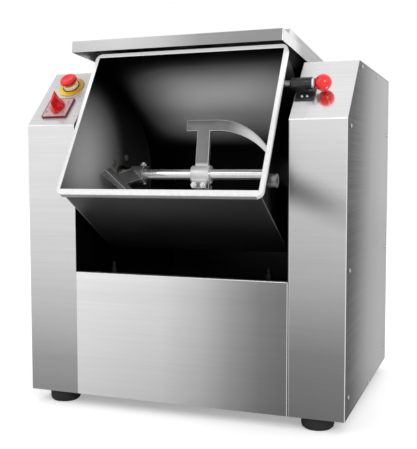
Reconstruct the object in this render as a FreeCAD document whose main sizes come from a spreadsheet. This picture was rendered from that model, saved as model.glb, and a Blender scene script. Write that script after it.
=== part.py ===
import FreeCAD, Part
import math
import os
import Sketcher

# Dough mixer: two sheet-metal towers carry a tilting trough, and a mixing shaft with
# three paddles turns in it. Lengths are millimetres, angles are degrees.
#
# Axes: X along the mixing shaft with the lock pin on the +X side, Y from the operator
# to the back, Z up. The origin is on the floor, under the middle of the whole machine.
# Sketches of fixed pieces are drawn in machine coordinates: Y is 0 at the fronts of the
# towers, and Z is 0 at the lower edge of the housings.

SIZES = {
    # towers and their sheet metal
    "machine_width": 740, "tower_width": 121, "tower_depth": 586,
    "slope_rise": 130, "slope_angle": 45.2, "sheet_gauge": 2, "cover_gauge": 2,
    "cover_gap": 0.4, "return_flange": 44, "cover_screw_inset": 32,
    # feet and base
    "foot_height": 28, "foot_diameter": 70, "foot_front": 42, "foot_bolt": 10,
    "base_height": 30, "base_gauge": 3,
    "base_front_band": 80, "base_rear_band": 80,
    "motor_band_front": 230, "motor_band_rear": 370,
    # panels between the towers
    "panel_gap": 0.3, "panel_return": 18, "hinge_shelf": 24,
    "louvre_inner": 60, "louvre_height": 8, "louvre_pitch": 22, "louvre_start": 70,
    "stud_back": 72, "stud_length": 22, "stud_diameter": 10,
    # trough
    "pivot_back": 175.2, "pivot_height": 503.8, "rest_tilt": 58.3,
    "trough_radius": 175, "trough_gauge": 2,
    "rim_over_bush": 0.55, "rim_front_reach": 189, "rim_rear_reach": 185,
    "rim_lip": 13, "rim_corner": 16,
    "trunnion_radius": 28, "trunnion_flange_radius": 50, "trunnion_flange": 8,
    "trunnion_bore": 16,
    # lock pin and the two bushes that it enters
    "lock_radius": 230, "lock_angle": 124.2, "upright_bush_radius": 14,
    "tilt_bush_radius": 7.5, "pin_radius": 4.5, "pin_clearance": 0.6,
    "pin_stroke": 8, "pin_tip_gap": 1, "guide_radius": 10,
    "guide_length": 32.5, "spigot_radius": 7.5, "spigot_length": 8,
    "ball_radius": 17.5, "bracket_width": 22,
    # mixing shaft and paddles
    "shaft_radius": 12.5, "running_gap": 0.05, "paddle_reach": 130, "paddle_bar": 26,
    "paddle_thickness": 12, "stem_width": 32, "centre_hub": -7,
    "hub_length": 46, "end_hub_length": 34, "hub_radius": 21, "ear_reach": 14,
    "ear_width": 32, "clamp_bolt": 8, "centre_angle": 80,
    "left_angle": 187.5, "right_angle": 332.5, "end_pitch": 43, "blade_left": 44,
    "blade_flat": 24, "blade_end": 156, "blade_arc": 155, "blade_inner_arc": 172,
    "end_blade_half": 38,
    # drive
    "gear_module": 3, "gear_teeth": 68, "pinion_teeth": 17, "gear_face": 20,
    "backlash": 0.3, "countershaft_angle": -40,
    "countershaft_radius": 10, "pulley_width": 20,
    "large_pulley_radius": 110, "motor_pulley_radius": 40, "belt_width": 9,
    "belt_height": 8, "motor_back": 300, "motor_height": 130, "motor_radius": 70,
    "motor_length": 230, "motor_shaft_radius": 12, "motor_foot": 24,
    "motor_foot_inset": 60, "motor_foot_half_gap": 36, "motor_foot_overlap": 18,
    "motor_base_gauge": 6,
    "bearing_plate_gauge": 8, "bearing_plate_front": 75, "plate_corner": 60,
    "plate_shoulder": 80, "plate_waist": 190,
    "bearing_housing_radius": 52, "bearing_boss": 12, "lightening_hole": 36,
    "lightening_low": 140, "lightening_high": 240,
    # controls on the left tower
    "estop_up": 131.5, "estop_ring_radius": 32, "estop_head_radius": 21,
    "estop_stroke": 5, "switch_up": 54, "switch_plate": 64, "switch_plate_gauge": 5.5,
    "knob_length": 48, "knob_height": 34, "knob_width": 23, "knob_ridge": 4,
    # lid and its hinges
    "lid_over_rim": 16.8, "hinge_under_lid": 54.4, "panel_under_hinge": 7.5,
    "lid_front": -17, "lid_angle": 4.5, "lid_gauge": 1.5, "lid_lip": 24.6,
    "lid_crown": 20, "crown_front": 60, "crown_slope_run": 28, "hinge_width": 60,
    "hinge_radius": 5, "hinge_pin_radius": 2.5, "hinge_leaf_gauge": 2.5,
    "hinge_leaf_depth": 28,
    # back of the left tower
    "gland_reach": 20, "gland_height": 90, "gland_radius": 10,
}

# Places along X, outward from the towers' inner faces; a negative one lies between them
FROM_TOWERS = {
    "trough_half_width": -29, "rim_half_width": -20, "lid_half_width": -8,
    "crown_half_width": -13, "hinge_place": -99, "stud_place": -61, "louvre_outer": -49,
    "end_hub": -78, "bush_end": -8.5, "guide_start": -6, "bracket_start": 4,
    "bracket_end": 25, "trunnion_end": 35, "shaft_left_end": 21, "shaft_right_end": 67,
    "gear_start": 41, "pulley_start": 73, "motor_face": 36, "foot_place": 56,
    "rail_inner": 13, "rail_outer": 86, "estop_side": 58, "switch_side": 61.5,
}

# Places along Y from the towers' backs
FROM_BACK = {
    "hinge_back": -16, "lid_length": -7, "crown_rear": -38, "foot_rear": -46,
    "bearing_plate_rear": -116,
}

# Heights over the line of the mixing shaft; a negative one lies under it
FROM_PIVOT = {
    "bend_height": 114.2, "bearing_plate_top": 136.2, "front_panel_height": -220.8,
}


class Dim:
    """A number that also carries the sheet formula it comes from."""

    def __init__(self, value, text):
        self.value = value
        self.text = text

    def joined(self, other, sign, value):
        return Dim(value, f"({self.text} {sign} {dim(other).text})")

    def __add__(self, other):
        return self.joined(other, "+", self.value + dim(other).value)

    def __sub__(self, other):
        return self.joined(other, "-", self.value - dim(other).value)

    def __mul__(self, other):
        return self.joined(other, "*", self.value * dim(other).value)

    def __truediv__(self, other):
        return self.joined(other, "/", self.value / dim(other).value)

    def __radd__(self, other):
        return dim(other) + self

    def __rsub__(self, other):
        return dim(other) - self

    def __rmul__(self, other):
        return dim(other) * self

    def __rtruediv__(self, other):
        return dim(other) / self

    def __neg__(self):
        return Dim(-self.value, f"(-1 * {self.text})")


def dim(number):
    if isinstance(number, Dim):
        return number
    return Dim(float(number), f"({float(number)!r})")


def sine(angle):
    return Dim(math.sin(math.radians(angle.value)), f"sin({angle.text})")


def cosine(angle):
    return Dim(math.cos(math.radians(angle.value)), f"cos({angle.text})")


def root(number):
    return Dim(math.sqrt(number.value), f"sqrt({number.text})")


class Sizes:
    """The spreadsheet, with each cell as a Dim attribute."""

    def __init__(self, document, table):
        self.sheet = document.addObject("Spreadsheet::Sheet", "dims")
        for row, (name, value) in enumerate(table.items(), start=1):
            self.sheet.set(f"A{row}", name)
            self.sheet.set(f"B{row}", str(value))
            self.sheet.setAlias(f"B{row}", name)
        document.recompute()
        for name in table:
            setattr(self, name, Dim(float(self.sheet.get(name)), f"dims.{name}"))


doc = FreeCAD.newDocument("dough_mixer")
s = Sizes(doc, {**SIZES, **FROM_TOWERS, **FROM_BACK, **FROM_PIVOT})
nodes = []

ALONG_X = FreeCAD.Vector(1, 0, 0)
ALONG_Y = FreeCAD.Vector(0, 1, 0)
ALONG_Z = FreeCAD.Vector(0, 0, 1)


# Lengths that several pieces share

half_width = s.machine_width / 2
tower_inner = half_width - s.tower_width
for name in FROM_TOWERS:
    setattr(s, name, tower_inner + getattr(s, name))
for name in FROM_BACK:
    setattr(s, name, s.tower_depth + getattr(s, name))
for name in FROM_PIVOT:
    setattr(s, name, s.pivot_height + getattr(s, name))
gland_side = half_width - s.tower_width / 2
tower_top = s.bend_height + s.slope_rise
slope_run = s.slope_rise * cosine(s.slope_angle) / sine(s.slope_angle)
panel_half = tower_inner - s.panel_gap
wall_outer = s.trough_half_width + s.trough_gauge
shell_outer = s.trough_radius + s.trough_gauge
plate_inner = tower_inner + s.sheet_gauge
shelf_top = s.front_panel_height - s.sheet_gauge - s.panel_gap
plate_outer = plate_inner + s.bearing_plate_gauge
lock_under_rim = s.lock_radius * cosine(90 + s.rest_tilt - s.lock_angle)
rim_height = lock_under_rim + s.tilt_bush_radius + s.rim_over_bush + s.rim_lip
rim_front_edge = (s.pivot_back - rim_height * sine(s.rest_tilt)
                  - s.rim_front_reach * cosine(s.rest_tilt))
rim_top = (s.pivot_height + rim_height * cosine(s.rest_tilt)
           + s.rim_rear_reach * sine(s.rest_tilt))
lid_height = rim_top + s.lid_over_rim
hinge_height = lid_height - s.hinge_under_lid
rear_panel_height = hinge_height - s.panel_under_hinge
bearing_bolt_ring = (s.bearing_housing_radius + s.trunnion_radius + s.bearing_boss) / 2
origin_back = (rim_front_edge + s.tower_depth + s.gland_reach) / 2
centre_distance = s.gear_module * (s.gear_teeth + s.pinion_teeth) / 2 + s.backlash
counter_back = s.pivot_back + centre_distance * cosine(s.countershaft_angle)
counter_height = s.pivot_height + centre_distance * sine(s.countershaft_angle)


# Sketches

def plane(body, role):
    return next(f for f in body.Origin.OriginFeatures if f.Role == role)


def new_body(name):
    body = doc.addObject("PartDesign::Body", name)
    body.Label = name
    return body


def new_sketch(body, role, offset=0):
    sketch = body.newObject("Sketcher::SketchObject", body.Name + "_sketch")
    sketch.AttachmentSupport = [(plane(body, role), "")]
    sketch.MapMode = "FlatFace"
    sketch.setExpression("AttachmentOffset.Base.z", dim(offset).text)
    return sketch


def new_slope_sketch(body, offset=0):
    """A sketch on the sloping panel: x along X, y up the slope, 0 at the bend."""
    sketch = new_sketch(body, "XY_Plane")
    up_to = s.bend_height + dim(offset) * cosine(s.slope_angle)
    forward = dim(offset) * sine(s.slope_angle)
    sketch.AttachmentOffset = FreeCAD.Placement(
        FreeCAD.Vector(), FreeCAD.Rotation(ALONG_X, s.slope_angle.value))
    sketch.setExpression("AttachmentOffset.Base.z", up_to.text)
    sketch.setExpression("AttachmentOffset.Base.y", (-forward).text)
    sketch.setExpression("AttachmentOffset.Rotation.Angle", s.slope_angle.text)
    return sketch


def hold(sketch, geometry, point, place):
    for kind, distance in zip(("DistanceX", "DistanceY"), place):
        distance = dim(distance)
        index = sketch.addConstraint(
            Sketcher.Constraint(kind, -1, 1, geometry, point, distance.value))
        sketch.setExpression(f"Constraints[{index}]", distance.text)


def vector(place):
    return FreeCAD.Vector(dim(place[0]).value, dim(place[1]).value, 0)


def outline(sketch, corners, arcs=None):
    """A closed outline. Sides are straight, or arcs given as {side: (centre, turn)}.

    A turn of 1 runs counter-clockwise about the centre, -1 clockwise.
    """
    arcs = arcs or {}
    first = sketch.GeometryCount
    count = len(corners)
    for side in range(count):
        ends = corners[side], corners[(side + 1) % count]
        if side in arcs:
            sketch.addGeometry(arc_between(*ends, *arcs[side]), False)
        else:
            sketch.addGeometry(Part.LineSegment(vector(ends[0]), vector(ends[1])), False)
    for side in range(count):
        following = (side + 1) % count
        sketch.addConstraint(Sketcher.Constraint(
            "Coincident", first + side, last_point(arcs, side),
            first + following, first_point(arcs, following)))
        hold(sketch, first + side, first_point(arcs, side), corners[side])
    for side, (centre, _) in arcs.items():
        hold_centre(sketch, first + side, centre, corners[side], corners[(side + 1) % count])


def first_point(arcs, side):
    return 2 if side in arcs and arcs[side][1] < 0 else 1


def last_point(arcs, side):
    return 1 if side in arcs and arcs[side][1] < 0 else 2


def arc_between(start, end, centre, turn_way):
    middle = vector(centre)
    spokes = [vector(start) - middle, vector(end) - middle]
    angles = [math.atan2(spoke.y, spoke.x) for spoke in spokes]
    if turn_way < 0:
        angles.reverse()
    return Part.ArcOfCircle(Part.Circle(middle, ALONG_Z, spokes[0].Length), *angles)


def hold_centre(sketch, geometry, centre, start, end):
    """The ends are held already, so one distance across the chord fixes the centre."""
    chord = vector(end) - vector(start)
    kind, distance = ("DistanceY", centre[1]) if abs(chord.x) >= abs(chord.y) else (
        "DistanceX", centre[0])
    index = sketch.addConstraint(
        Sketcher.Constraint(kind, -1, 1, geometry, 3, dim(distance).value))
    sketch.setExpression(f"Constraints[{index}]", dim(distance).text)


def rectangle(sketch, low, high):
    outline(sketch, [low, (high[0], low[1]), high, (low[0], high[1])])


def circle(sketch, centre, radius):
    radius = dim(radius)
    shape = Part.Circle(vector(centre), ALONG_Z, radius.value)
    geometry = sketch.addGeometry(shape, False)
    hold(sketch, geometry, 3, centre)
    index = sketch.addConstraint(Sketcher.Constraint("Radius", geometry, radius.value))
    sketch.setExpression(f"Constraints[{index}]", radius.text)


def rounded_rectangle(sketch, low, high, radius):
    (left, front), (right, rear) = low, high
    r = dim(radius)
    corners = [(left + r, front), (right - r, front), (right, front + r), (right, rear - r),
               (right - r, rear), (left + r, rear), (left, rear - r), (left, front + r)]
    arcs = {1: ((right - r, front + r), 1), 3: ((right - r, rear - r), 1),
            5: ((left + r, rear - r), 1), 7: ((left + r, front + r), 1)}
    outline(sketch, corners, arcs)


# Features

def extrude(body, kind, sketch, length, reverse, symmetric):
    feature = body.newObject("PartDesign::" + kind, body.Name + "_" + kind.lower())
    feature.Profile = sketch
    feature.Reversed = reverse
    if symmetric:
        feature.SideType = "Symmetric"
    feature.setExpression("Length", dim(length).text)
    doc.recompute()
    return feature


def pad(body, sketch, length, reverse=False, symmetric=False):
    return extrude(body, "Pad", sketch, length, reverse, symmetric)


def pocket(body, sketch, length, reverse=False, symmetric=False):
    before = body.Shape.Volume
    feature = extrude(body, "Pocket", sketch, length, reverse, symmetric)
    if body.Shape.Volume >= before - 1e-6:
        raise RuntimeError(f"{body.Label}: the cut removes nothing")
    return feature


def turn(body, points, axis="H_Axis", role="XZ_Plane"):
    """Revolve (along the axis, radius) points into a round piece."""
    sketch = new_sketch(body, role)
    if axis == "V_Axis":
        points = [(radius, along) for along, radius in points]
    outline(sketch, points)
    feature = body.newObject("PartDesign::Revolution", body.Name + "_turned")
    feature.Profile = sketch
    feature.ReferenceAxis = (sketch, [axis])
    feature.Angle = 360
    doc.recompute()
    return feature


def edges_along(shape, direction, chosen):
    """Names of the straight edges along a direction whose middle is chosen."""
    found = []
    for number, edge in enumerate(shape.Edges, start=1):
        if not isinstance(edge.Curve, Part.Line):
            continue
        if abs(abs(edge.Curve.Direction.dot(direction)) - 1) > 1e-6:
            continue
        if chosen(edge.CenterOfMass):
            found.append(f"Edge{number}")
    return found


def fillet(body, direction, radius, chosen=lambda middle: True):
    base = body.Tip
    names = edges_along(base.Shape, direction, chosen)
    feature = body.newObject("PartDesign::Fillet", body.Name + "_fillet")
    feature.Base = (base, names)
    feature.setExpression("Radius", dim(radius).text)
    doc.recompute()
    return feature


# Places

def keep(piece):
    nodes.append(piece)
    return piece


def place(piece, x=0, y=0, z=0, axis=ALONG_X, angle=0):
    """Put a piece at machine coordinates, turned about an axis."""
    angle = dim(angle)
    piece.Placement = FreeCAD.Placement(FreeCAD.Vector(), FreeCAD.Rotation(axis, angle.value))
    piece.setExpression("Placement.Rotation.Angle", angle.text)
    piece.setExpression("Placement.Base.x", dim(x).text)
    piece.setExpression("Placement.Base.y", (dim(y) - origin_back).text)
    piece.setExpression("Placement.Base.z", (dim(z) + s.foot_height).text)
    return piece


def place_fixed(piece):
    return keep(place(piece))


def place_on_pivot(piece, angle=0, x=0):
    return keep(place(piece, x, s.pivot_back, s.pivot_height, ALONG_X, angle))


def place_in_trough(piece):
    return place_on_pivot(piece, s.rest_tilt)


def place_on_slope(piece, x, up, angle=None):
    turned = s.slope_angle if angle is None else angle
    return place(piece, x, up * cosine(s.slope_angle),
                 s.bend_height + up * sine(s.slope_angle), ALONG_X, turned)


def copies(name, template, places):
    """One node of separate solids: the same piece at several places."""
    links = []
    for number, (x, y, z) in enumerate(places, start=1):
        link = doc.addObject("App::Link", f"{name}_{number}")
        link.LinkedObject = template
        link.Placement = template.Placement
        for letter, distance in zip("xyz", (x, y, z)):
            link.setExpression(f"Placement.Base.{letter}", dim(distance).text)
        links.append(link)
    group = doc.addObject("Part::Compound", name)
    group.Label = name
    group.Links = links
    return keep(place(group))


# Towers

def tower_corners(inset, bottom):
    """The side outline of a tower, moved inwards by inset."""
    inset = dim(inset)
    slant = (1 - sine(s.slope_angle)) / cosine(s.slope_angle)
    bend = s.bend_height - inset * slant
    brow = (inset + (s.slope_rise - inset) * cosine(s.slope_angle)) / sine(s.slope_angle)
    rear = s.tower_depth - inset
    top = tower_top - inset
    return [(inset, bottom), (inset, bend), (brow, top), (rear, top), (rear, bottom)]


def cover_screw_places():
    """Where a side cover is screwed on, as (Y, Z) pairs."""
    front = s.cover_screw_inset
    rear = s.tower_depth - s.cover_screw_inset
    rows = (44, s.bend_height / 2, s.bend_height - 14)
    columns = [(y, z) for y in (front, rear) for z in rows]
    top = tower_top - 11
    return columns + [(slope_run + 30, top), (rear - 180, top), (s.tower_depth / 2, 9)]


def tower_housing(name, side, openings):
    body = new_body(name)
    outward = side > 0
    form = new_sketch(body, "YZ_Plane", side * tower_inner)
    outline(form, tower_corners(0, 0))
    pad(body, form, s.tower_width, reverse=not outward)
    hollow = new_sketch(body, "YZ_Plane", side * plate_inner)
    outline(hollow, tower_corners(s.sheet_gauge, -1))
    pocket(body, hollow, s.tower_width, reverse=outward)
    flange_face = half_width - s.cover_gauge - s.sheet_gauge
    flange = new_sketch(body, "YZ_Plane", side * flange_face)
    outline(flange, tower_corners(s.sheet_gauge, 0))
    outline(flange, tower_corners(s.return_flange, s.return_flange / 2))
    pad(body, flange, s.sheet_gauge, reverse=not outward)
    holes = new_sketch(body, "YZ_Plane", side * flange_face)
    for screw in cover_screw_places():
        circle(holes, screw, 2.6)
    pocket(body, holes, s.tower_width, reverse=outward)
    notch = new_sketch(body, "YZ_Plane", side * tower_inner)
    rectangle(notch, (s.sheet_gauge, -1),
              (s.tower_depth - s.sheet_gauge, s.base_height + s.sheet_gauge))
    pocket(body, notch, s.sheet_gauge, reverse=outward)
    windows = new_sketch(body, "YZ_Plane", side * tower_inner)
    openings(windows)
    pocket(body, windows, s.sheet_gauge, reverse=outward)
    return body


def trunnion_window(sketch):
    circle(sketch, (s.pivot_back, s.pivot_height), s.trunnion_radius + 4)


def motor_window(sketch):
    reach = s.motor_radius + 8
    rectangle(sketch, (s.motor_back - reach, s.motor_height - reach - 16),
              (s.motor_back + reach, s.motor_height + reach))


def right_windows(sketch):
    trunnion_window(sketch)
    motor_window(sketch)


def left_tower_housing():
    body = tower_housing("left_tower_housing", -1, trunnion_window)
    controls = new_slope_sketch(body)
    circle(controls, (-s.estop_side, s.estop_up), 11.3)
    circle(controls, (-s.switch_side, s.switch_up), 14)
    pocket(body, controls, 3 * s.sheet_gauge)
    entry = new_sketch(body, "XZ_Plane", -s.tower_depth)
    circle(entry, (-gland_side, s.gland_height), s.gland_radius + 0.2)
    pocket(body, entry, s.sheet_gauge, reverse=True)
    return place_fixed(body)


def right_tower_housing():
    return place_fixed(tower_housing("right_tower_housing", 1, right_windows))


def side_cover(name, side):
    body = new_body(name)
    sheet = new_sketch(body, "YZ_Plane", side * (half_width - s.cover_gauge))
    outline(sheet, tower_corners(s.sheet_gauge + s.cover_gap, s.cover_gap))
    for screw in cover_screw_places():
        circle(sheet, screw, 2.6)
    pad(body, sheet, s.cover_gauge, reverse=side < 0)
    return place_fixed(body)


def side_cover_screws():
    links = []
    for side in (-1, 1):
        piece = new_body("cover_screw_left" if side < 0 else "cover_screw_right")
        turn(piece, [(-9 * side, 0), (-9 * side, 2.5), (0, 2.5), (0, 4.75), (1.6 * side, 4.75),
                     (2.6 * side, 2.85), (2.6 * side, 0)])
        for number, (y, z) in enumerate(cover_screw_places(), start=1):
            link = doc.addObject("App::Link", f"{piece.Name}_{number}")
            link.LinkedObject = piece
            link.setExpression("Placement.Base.x", (side * half_width).text)
            link.setExpression("Placement.Base.y", dim(y).text)
            link.setExpression("Placement.Base.z", dim(z).text)
            links.append(link)
    group = doc.addObject("Part::Compound", "side_cover_screws")
    group.Links = links
    return place_fixed(group)


# Base and feet

def base_windows():
    """The openings of the base frame between its rails and bands."""
    return [
        ((-s.rail_inner, s.base_front_band), (s.rail_inner, s.motor_band_front)),
        ((-s.rail_inner, s.motor_band_rear),
         (s.rail_inner, s.tower_depth - s.base_rear_band)),
    ]


def base_frame():
    body = new_body("base_frame")
    near = s.sheet_gauge + s.panel_gap
    far = s.tower_depth - near
    form = new_sketch(body, "XY_Plane")
    rectangle(form, (-s.rail_outer, near), (s.rail_outer, far))
    for low, high in base_windows():
        rectangle(form, low, high)
    pad(body, form, s.base_height)
    channel = new_sketch(body, "XY_Plane", s.base_gauge)
    g = s.base_gauge
    rectangle(channel, (-s.rail_outer + g, near + g), (s.rail_outer - g, far - g))
    for low, high in base_windows():
        rectangle(channel, (low[0] - g, low[1] - g), (high[0] + g, high[1] + g))
    pocket(body, channel, s.base_height, reverse=True)
    holes = new_sketch(body, "XY_Plane")
    for x, y in foot_places():
        circle(holes, (x, y), s.foot_bolt / 2 + 0.3)
    pocket(body, holes, s.base_gauge, reverse=True)
    return place_fixed(body)


def foot_places():
    return [(side * s.foot_place, y) for side in (-1, 1) for y in (s.foot_front, s.foot_rear)]


def feet():
    template = new_body("foot_pad")
    radius = s.foot_diameter / 2
    head = s.foot_bolt
    turn(template, [(-s.foot_height, 0), (-s.foot_height, radius - 6),
                    (4 - s.foot_height, radius - 1.5), (9 - s.foot_height, radius),
                    (-3, radius), (0, radius - 3), (0, s.foot_bolt / 2 + 0.3),
                    (-10, s.foot_bolt / 2 + 0.3), (-10, 0)], "V_Axis")
    copies("feet", template, [(x, y, 0) for x, y in foot_places()])
    bolt = new_body("foot_bolt_piece")
    turn(bolt, [(-9.7, 0), (-9.7, s.foot_bolt / 2), (s.base_gauge, s.foot_bolt / 2),
                (s.base_gauge, head), (s.base_gauge + 8, head), (s.base_gauge + 8, 0)],
         "V_Axis")
    copies("foot_bolts", bolt, [(x, y, 0) for x, y in foot_places()])


# Panels between the towers

def front_panel():
    body = new_body("front_panel")
    side = new_sketch(body, "YZ_Plane")
    g = s.sheet_gauge
    top = s.front_panel_height
    outline(side, [(0, 0), (0, top), (s.panel_return, top), (s.panel_return, top - g),
                   (g, top - g), (g, 0)])
    pad(body, side, 2 * panel_half, symmetric=True)
    return place_fixed(body)


def louvre_heights():
    return [s.louvre_start + s.louvre_pitch * number for number in range(6)]


def rear_panel():
    body = new_body("rear_panel")
    side = new_sketch(body, "YZ_Plane")
    g = s.sheet_gauge
    top = rear_panel_height
    back = s.tower_depth
    outline(side, [(back, 0), (back, top), (back - s.hinge_shelf, top),
                   (back - s.hinge_shelf, top - g), (back - g, top - g), (back - g, 0)])
    pad(body, side, 2 * panel_half, symmetric=True)
    slots = new_sketch(body, "XZ_Plane", -back)
    for z in louvre_heights():
        rectangle(slots, (s.louvre_inner, z), (s.louvre_outer, z + s.louvre_height))
        rectangle(slots, (-s.louvre_outer, z), (-s.louvre_inner, z + s.louvre_height))
    pocket(body, slots, g * 2, reverse=True)
    return place_fixed(body)


def shelf_plate():
    body = new_body("shelf_plate")
    side = new_sketch(body, "YZ_Plane")
    g = s.sheet_gauge
    top = shelf_top
    near = g + s.panel_gap
    far = s.tower_depth - g - s.panel_gap
    outline(side, [(near, top - 20), (near, top), (far, top), (far, top - 20),
                   (far - g, top - 20), (far - g, top - g), (near + g, top - g),
                   (near + g, top - 20)])
    pad(body, side, 2 * panel_half, symmetric=True)
    holes = new_sketch(body, "XY_Plane", top)
    for x in (-s.stud_place, s.stud_place):
        circle(holes, (x, s.stud_back), s.stud_diameter / 2 + 0.1)
    pocket(body, holes, 2 * g)
    return place_fixed(body)


def rest_studs():
    """Two studs with lock nuts that stop the trough at its fully tipped position."""
    template = new_body("rest_stud")
    r = s.stud_diameter / 2
    g = s.sheet_gauge
    turn(template, [(-g - 8, 0), (-g - 8, 9), (-g, 9), (-g, r), (0, r), (0, 9),
                    (8, 9), (8, r), (s.stud_length - 3, r), (s.stud_length, r - 2),
                    (s.stud_length, 0)], "V_Axis")
    return copies("rest_studs", template,
                  [(x, s.stud_back, shelf_top) for x in (-s.stud_place, s.stud_place)])


# Bearing plates and housings

def bearing_plate(name, side, cuts):
    body = new_body(name)
    sketch = new_sketch(body, "YZ_Plane", side * plate_inner)
    front, rear = s.bearing_plate_front, s.bearing_plate_rear
    foot, top = s.base_height, s.bearing_plate_top
    corner = s.plate_corner
    inner = rear - s.plate_shoulder
    outline(sketch, [(front, foot), (rear, foot), (rear, foot + s.plate_waist),
                     (inner, top - corner), (inner - corner, top), (front + corner, top),
                     (front, top - corner)])
    circle(sketch, (s.pivot_back, s.pivot_height), s.trunnion_radius + 3)
    bearing_bolt_holes(sketch, 3.1, (s.pivot_back, s.pivot_height))
    cuts(sketch)
    pad(body, sketch, s.bearing_plate_gauge, reverse=side < 0)
    return place_fixed(body)


def left_plate_cuts(sketch):
    for height in (s.lightening_low, s.lightening_high):
        circle(sketch, (s.pivot_back, height), s.lightening_hole)


def right_plate_cuts(sketch):
    motor_window(sketch)
    circle(sketch, (counter_back, counter_height), s.countershaft_radius + 12)


def trunnion_bearing(name, side):
    body = new_body(name)
    radius, boss = s.bearing_housing_radius, s.trunnion_radius + s.bearing_boss
    bore = s.trunnion_radius + s.running_gap
    start = plate_outer
    points = [(start, bore), (start, radius), (start + 8, radius), (start + 8, boss),
              (start + 22, boss), (start + 24, boss - 2), (start + 24, bore)]
    turn(body, [(side * along, away) for along, away in points])
    holes = new_sketch(body, "YZ_Plane", side * start)
    bearing_bolt_holes(holes, 3.1, (0, 0))
    pocket(body, holes, 8.5, reverse=side > 0)
    return place_on_pivot(body)


def bearing_bolts():
    """Four bolts through each trunnion bearing's flange into its plate."""
    links = []
    ring = bearing_bolt_ring
    for side in (-1, 1):
        template = new_body("bearing_bolt_left" if side < 0 else "bearing_bolt_right")
        start = plate_outer + 8
        turn(template, [(side * (start - 8 - s.bearing_plate_gauge), 0),
                        (side * (start - 8 - s.bearing_plate_gauge), 3), (side * start, 3),
                        (side * start, 5), (side * (start + 4), 5),
                        (side * (start + 4), 0)])
        for angle in (45, 135, 225, 315):
            link = doc.addObject("App::Link", f"bearing_bolt_{len(links) + 1}")
            link.LinkedObject = template
            link.setExpression("Placement.Base.y", (ring * cosine(dim(angle))).text)
            link.setExpression("Placement.Base.z", (ring * sine(dim(angle))).text)
            links.append(link)
    group = doc.addObject("Part::Compound", "bearing_bolts")
    group.Links = links
    return place_on_pivot(group)


def bearing_bolt_holes(sketch, radius, centre):
    ring = bearing_bolt_ring
    for angle in (45, 135, 225, 315):
        circle(sketch, (centre[0] + ring * cosine(dim(angle)),
                        centre[1] + ring * sine(dim(angle))), radius)


# Trough

def u_outline(sketch, radius, height):
    """A trough section: half round below the pivot, straight sides above it."""
    r, top = dim(radius), dim(height)
    outline(sketch, [(-r, 0), (r, 0), (r, top), (-r, top)], {0: ((0, 0), 1)})


def trough_shell():
    body = new_body("trough_shell")
    form = new_sketch(body, "YZ_Plane")
    height = rim_height - s.trough_gauge
    u_outline(form, shell_outer, height)
    pad(body, form, 2 * s.trough_half_width, symmetric=True)
    inside = new_sketch(body, "YZ_Plane")
    u_outline(inside, s.trough_radius, height + 1)
    pocket(body, inside, 2 * s.trough_half_width + 2, symmetric=True)
    return place_in_trough(body)


def trough_end_wall(name, side, bushes):
    body = new_body(name)
    form = new_sketch(body, "YZ_Plane", side * s.trough_half_width)
    u_outline(form, shell_outer, rim_height - s.trough_gauge)
    circle(form, (0, 0), s.trunnion_bore)
    for centre in bushes:
        circle(form, centre, s.pin_radius + s.pin_clearance)
    pad(body, form, s.trough_gauge, reverse=side < 0)
    return place_in_trough(body)


def trough_rim():
    body = new_body("trough_rim")
    low = rim_height - s.rim_lip
    g = s.trough_gauge
    front, rear, side = -s.rim_front_reach, s.rim_rear_reach, s.rim_half_width
    form = new_sketch(body, "XY_Plane", low)
    rounded_rectangle(form, (-side, front), (side, rear), s.rim_corner)
    pad(body, form, s.rim_lip)
    inside = new_sketch(body, "XY_Plane", low)
    rounded_rectangle(inside, (g - side, front + g), (side - g, rear - g), s.rim_corner - g)
    pocket(body, inside, s.rim_lip - g, reverse=True)
    mouth = new_sketch(body, "XY_Plane", rim_height)
    rectangle(mouth, (-s.trough_half_width, -s.trough_radius),
              (s.trough_half_width, s.trough_radius))
    pocket(body, mouth, 2 * g)
    return place_in_trough(body)


def trunnion(name, side):
    body = new_body(name)
    start = wall_outer
    points = [(start, s.trunnion_bore), (start, s.trunnion_flange_radius),
              (start + s.trunnion_flange, s.trunnion_flange_radius),
              (start + s.trunnion_flange, s.trunnion_radius),
              (s.trunnion_end - 2, s.trunnion_radius), (s.trunnion_end, s.trunnion_radius - 2),
              (s.trunnion_end, s.trunnion_bore)]
    turn(body, [(side * along, away) for along, away in points])
    return place_in_trough(body)


def shaft_bushes():
    """Flanged bronze bushes in the trunnions, with their collars inside the trough."""
    bore = s.shaft_radius + s.running_gap
    pieces = []
    for side in (-1, 1):
        body = new_body("left_shaft_bush" if side < 0 else "right_shaft_bush")
        inner = s.trough_half_width - 6
        points = [(inner, bore), (inner, 23), (s.trough_half_width, 23),
                  (s.trough_half_width, s.trunnion_bore), (s.trunnion_end, s.trunnion_bore),
                  (s.trunnion_end, bore)]
        turn(body, [(side * along, away) for along, away in points])
        pieces.append(place_in_trough(body))
    return pieces


def lock_places():
    """Upright and tipped bushes in the trough's own frame, as (y, z) pairs."""
    tipped = s.lock_angle - s.rest_tilt
    return [(s.lock_radius * cosine(angle), s.lock_radius * sine(angle))
            for angle in (s.lock_angle, tipped)]


def lock_bush(name, centre, radius):
    body = new_body(name)
    ring = new_sketch(body, "YZ_Plane", wall_outer)
    circle(ring, centre, radius)
    circle(ring, centre, s.pin_radius + s.pin_clearance)
    pad(body, ring, s.bush_end - wall_outer)
    return place_in_trough(body)


# Lock pin on the right tower

lock_back = s.pivot_back + s.lock_radius * cosine(s.lock_angle)
lock_height = s.pivot_height + s.lock_radius * sine(s.lock_angle)
lock_stand_off = ((lock_height - s.bend_height) * cosine(s.slope_angle)
                  - lock_back * sine(s.slope_angle))
lock_up = lock_back * cosine(s.slope_angle) + (lock_height - s.bend_height) * sine(s.slope_angle)


def place_on_lock_axis(piece):
    return keep(place(piece, 0, lock_back, lock_height))


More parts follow.
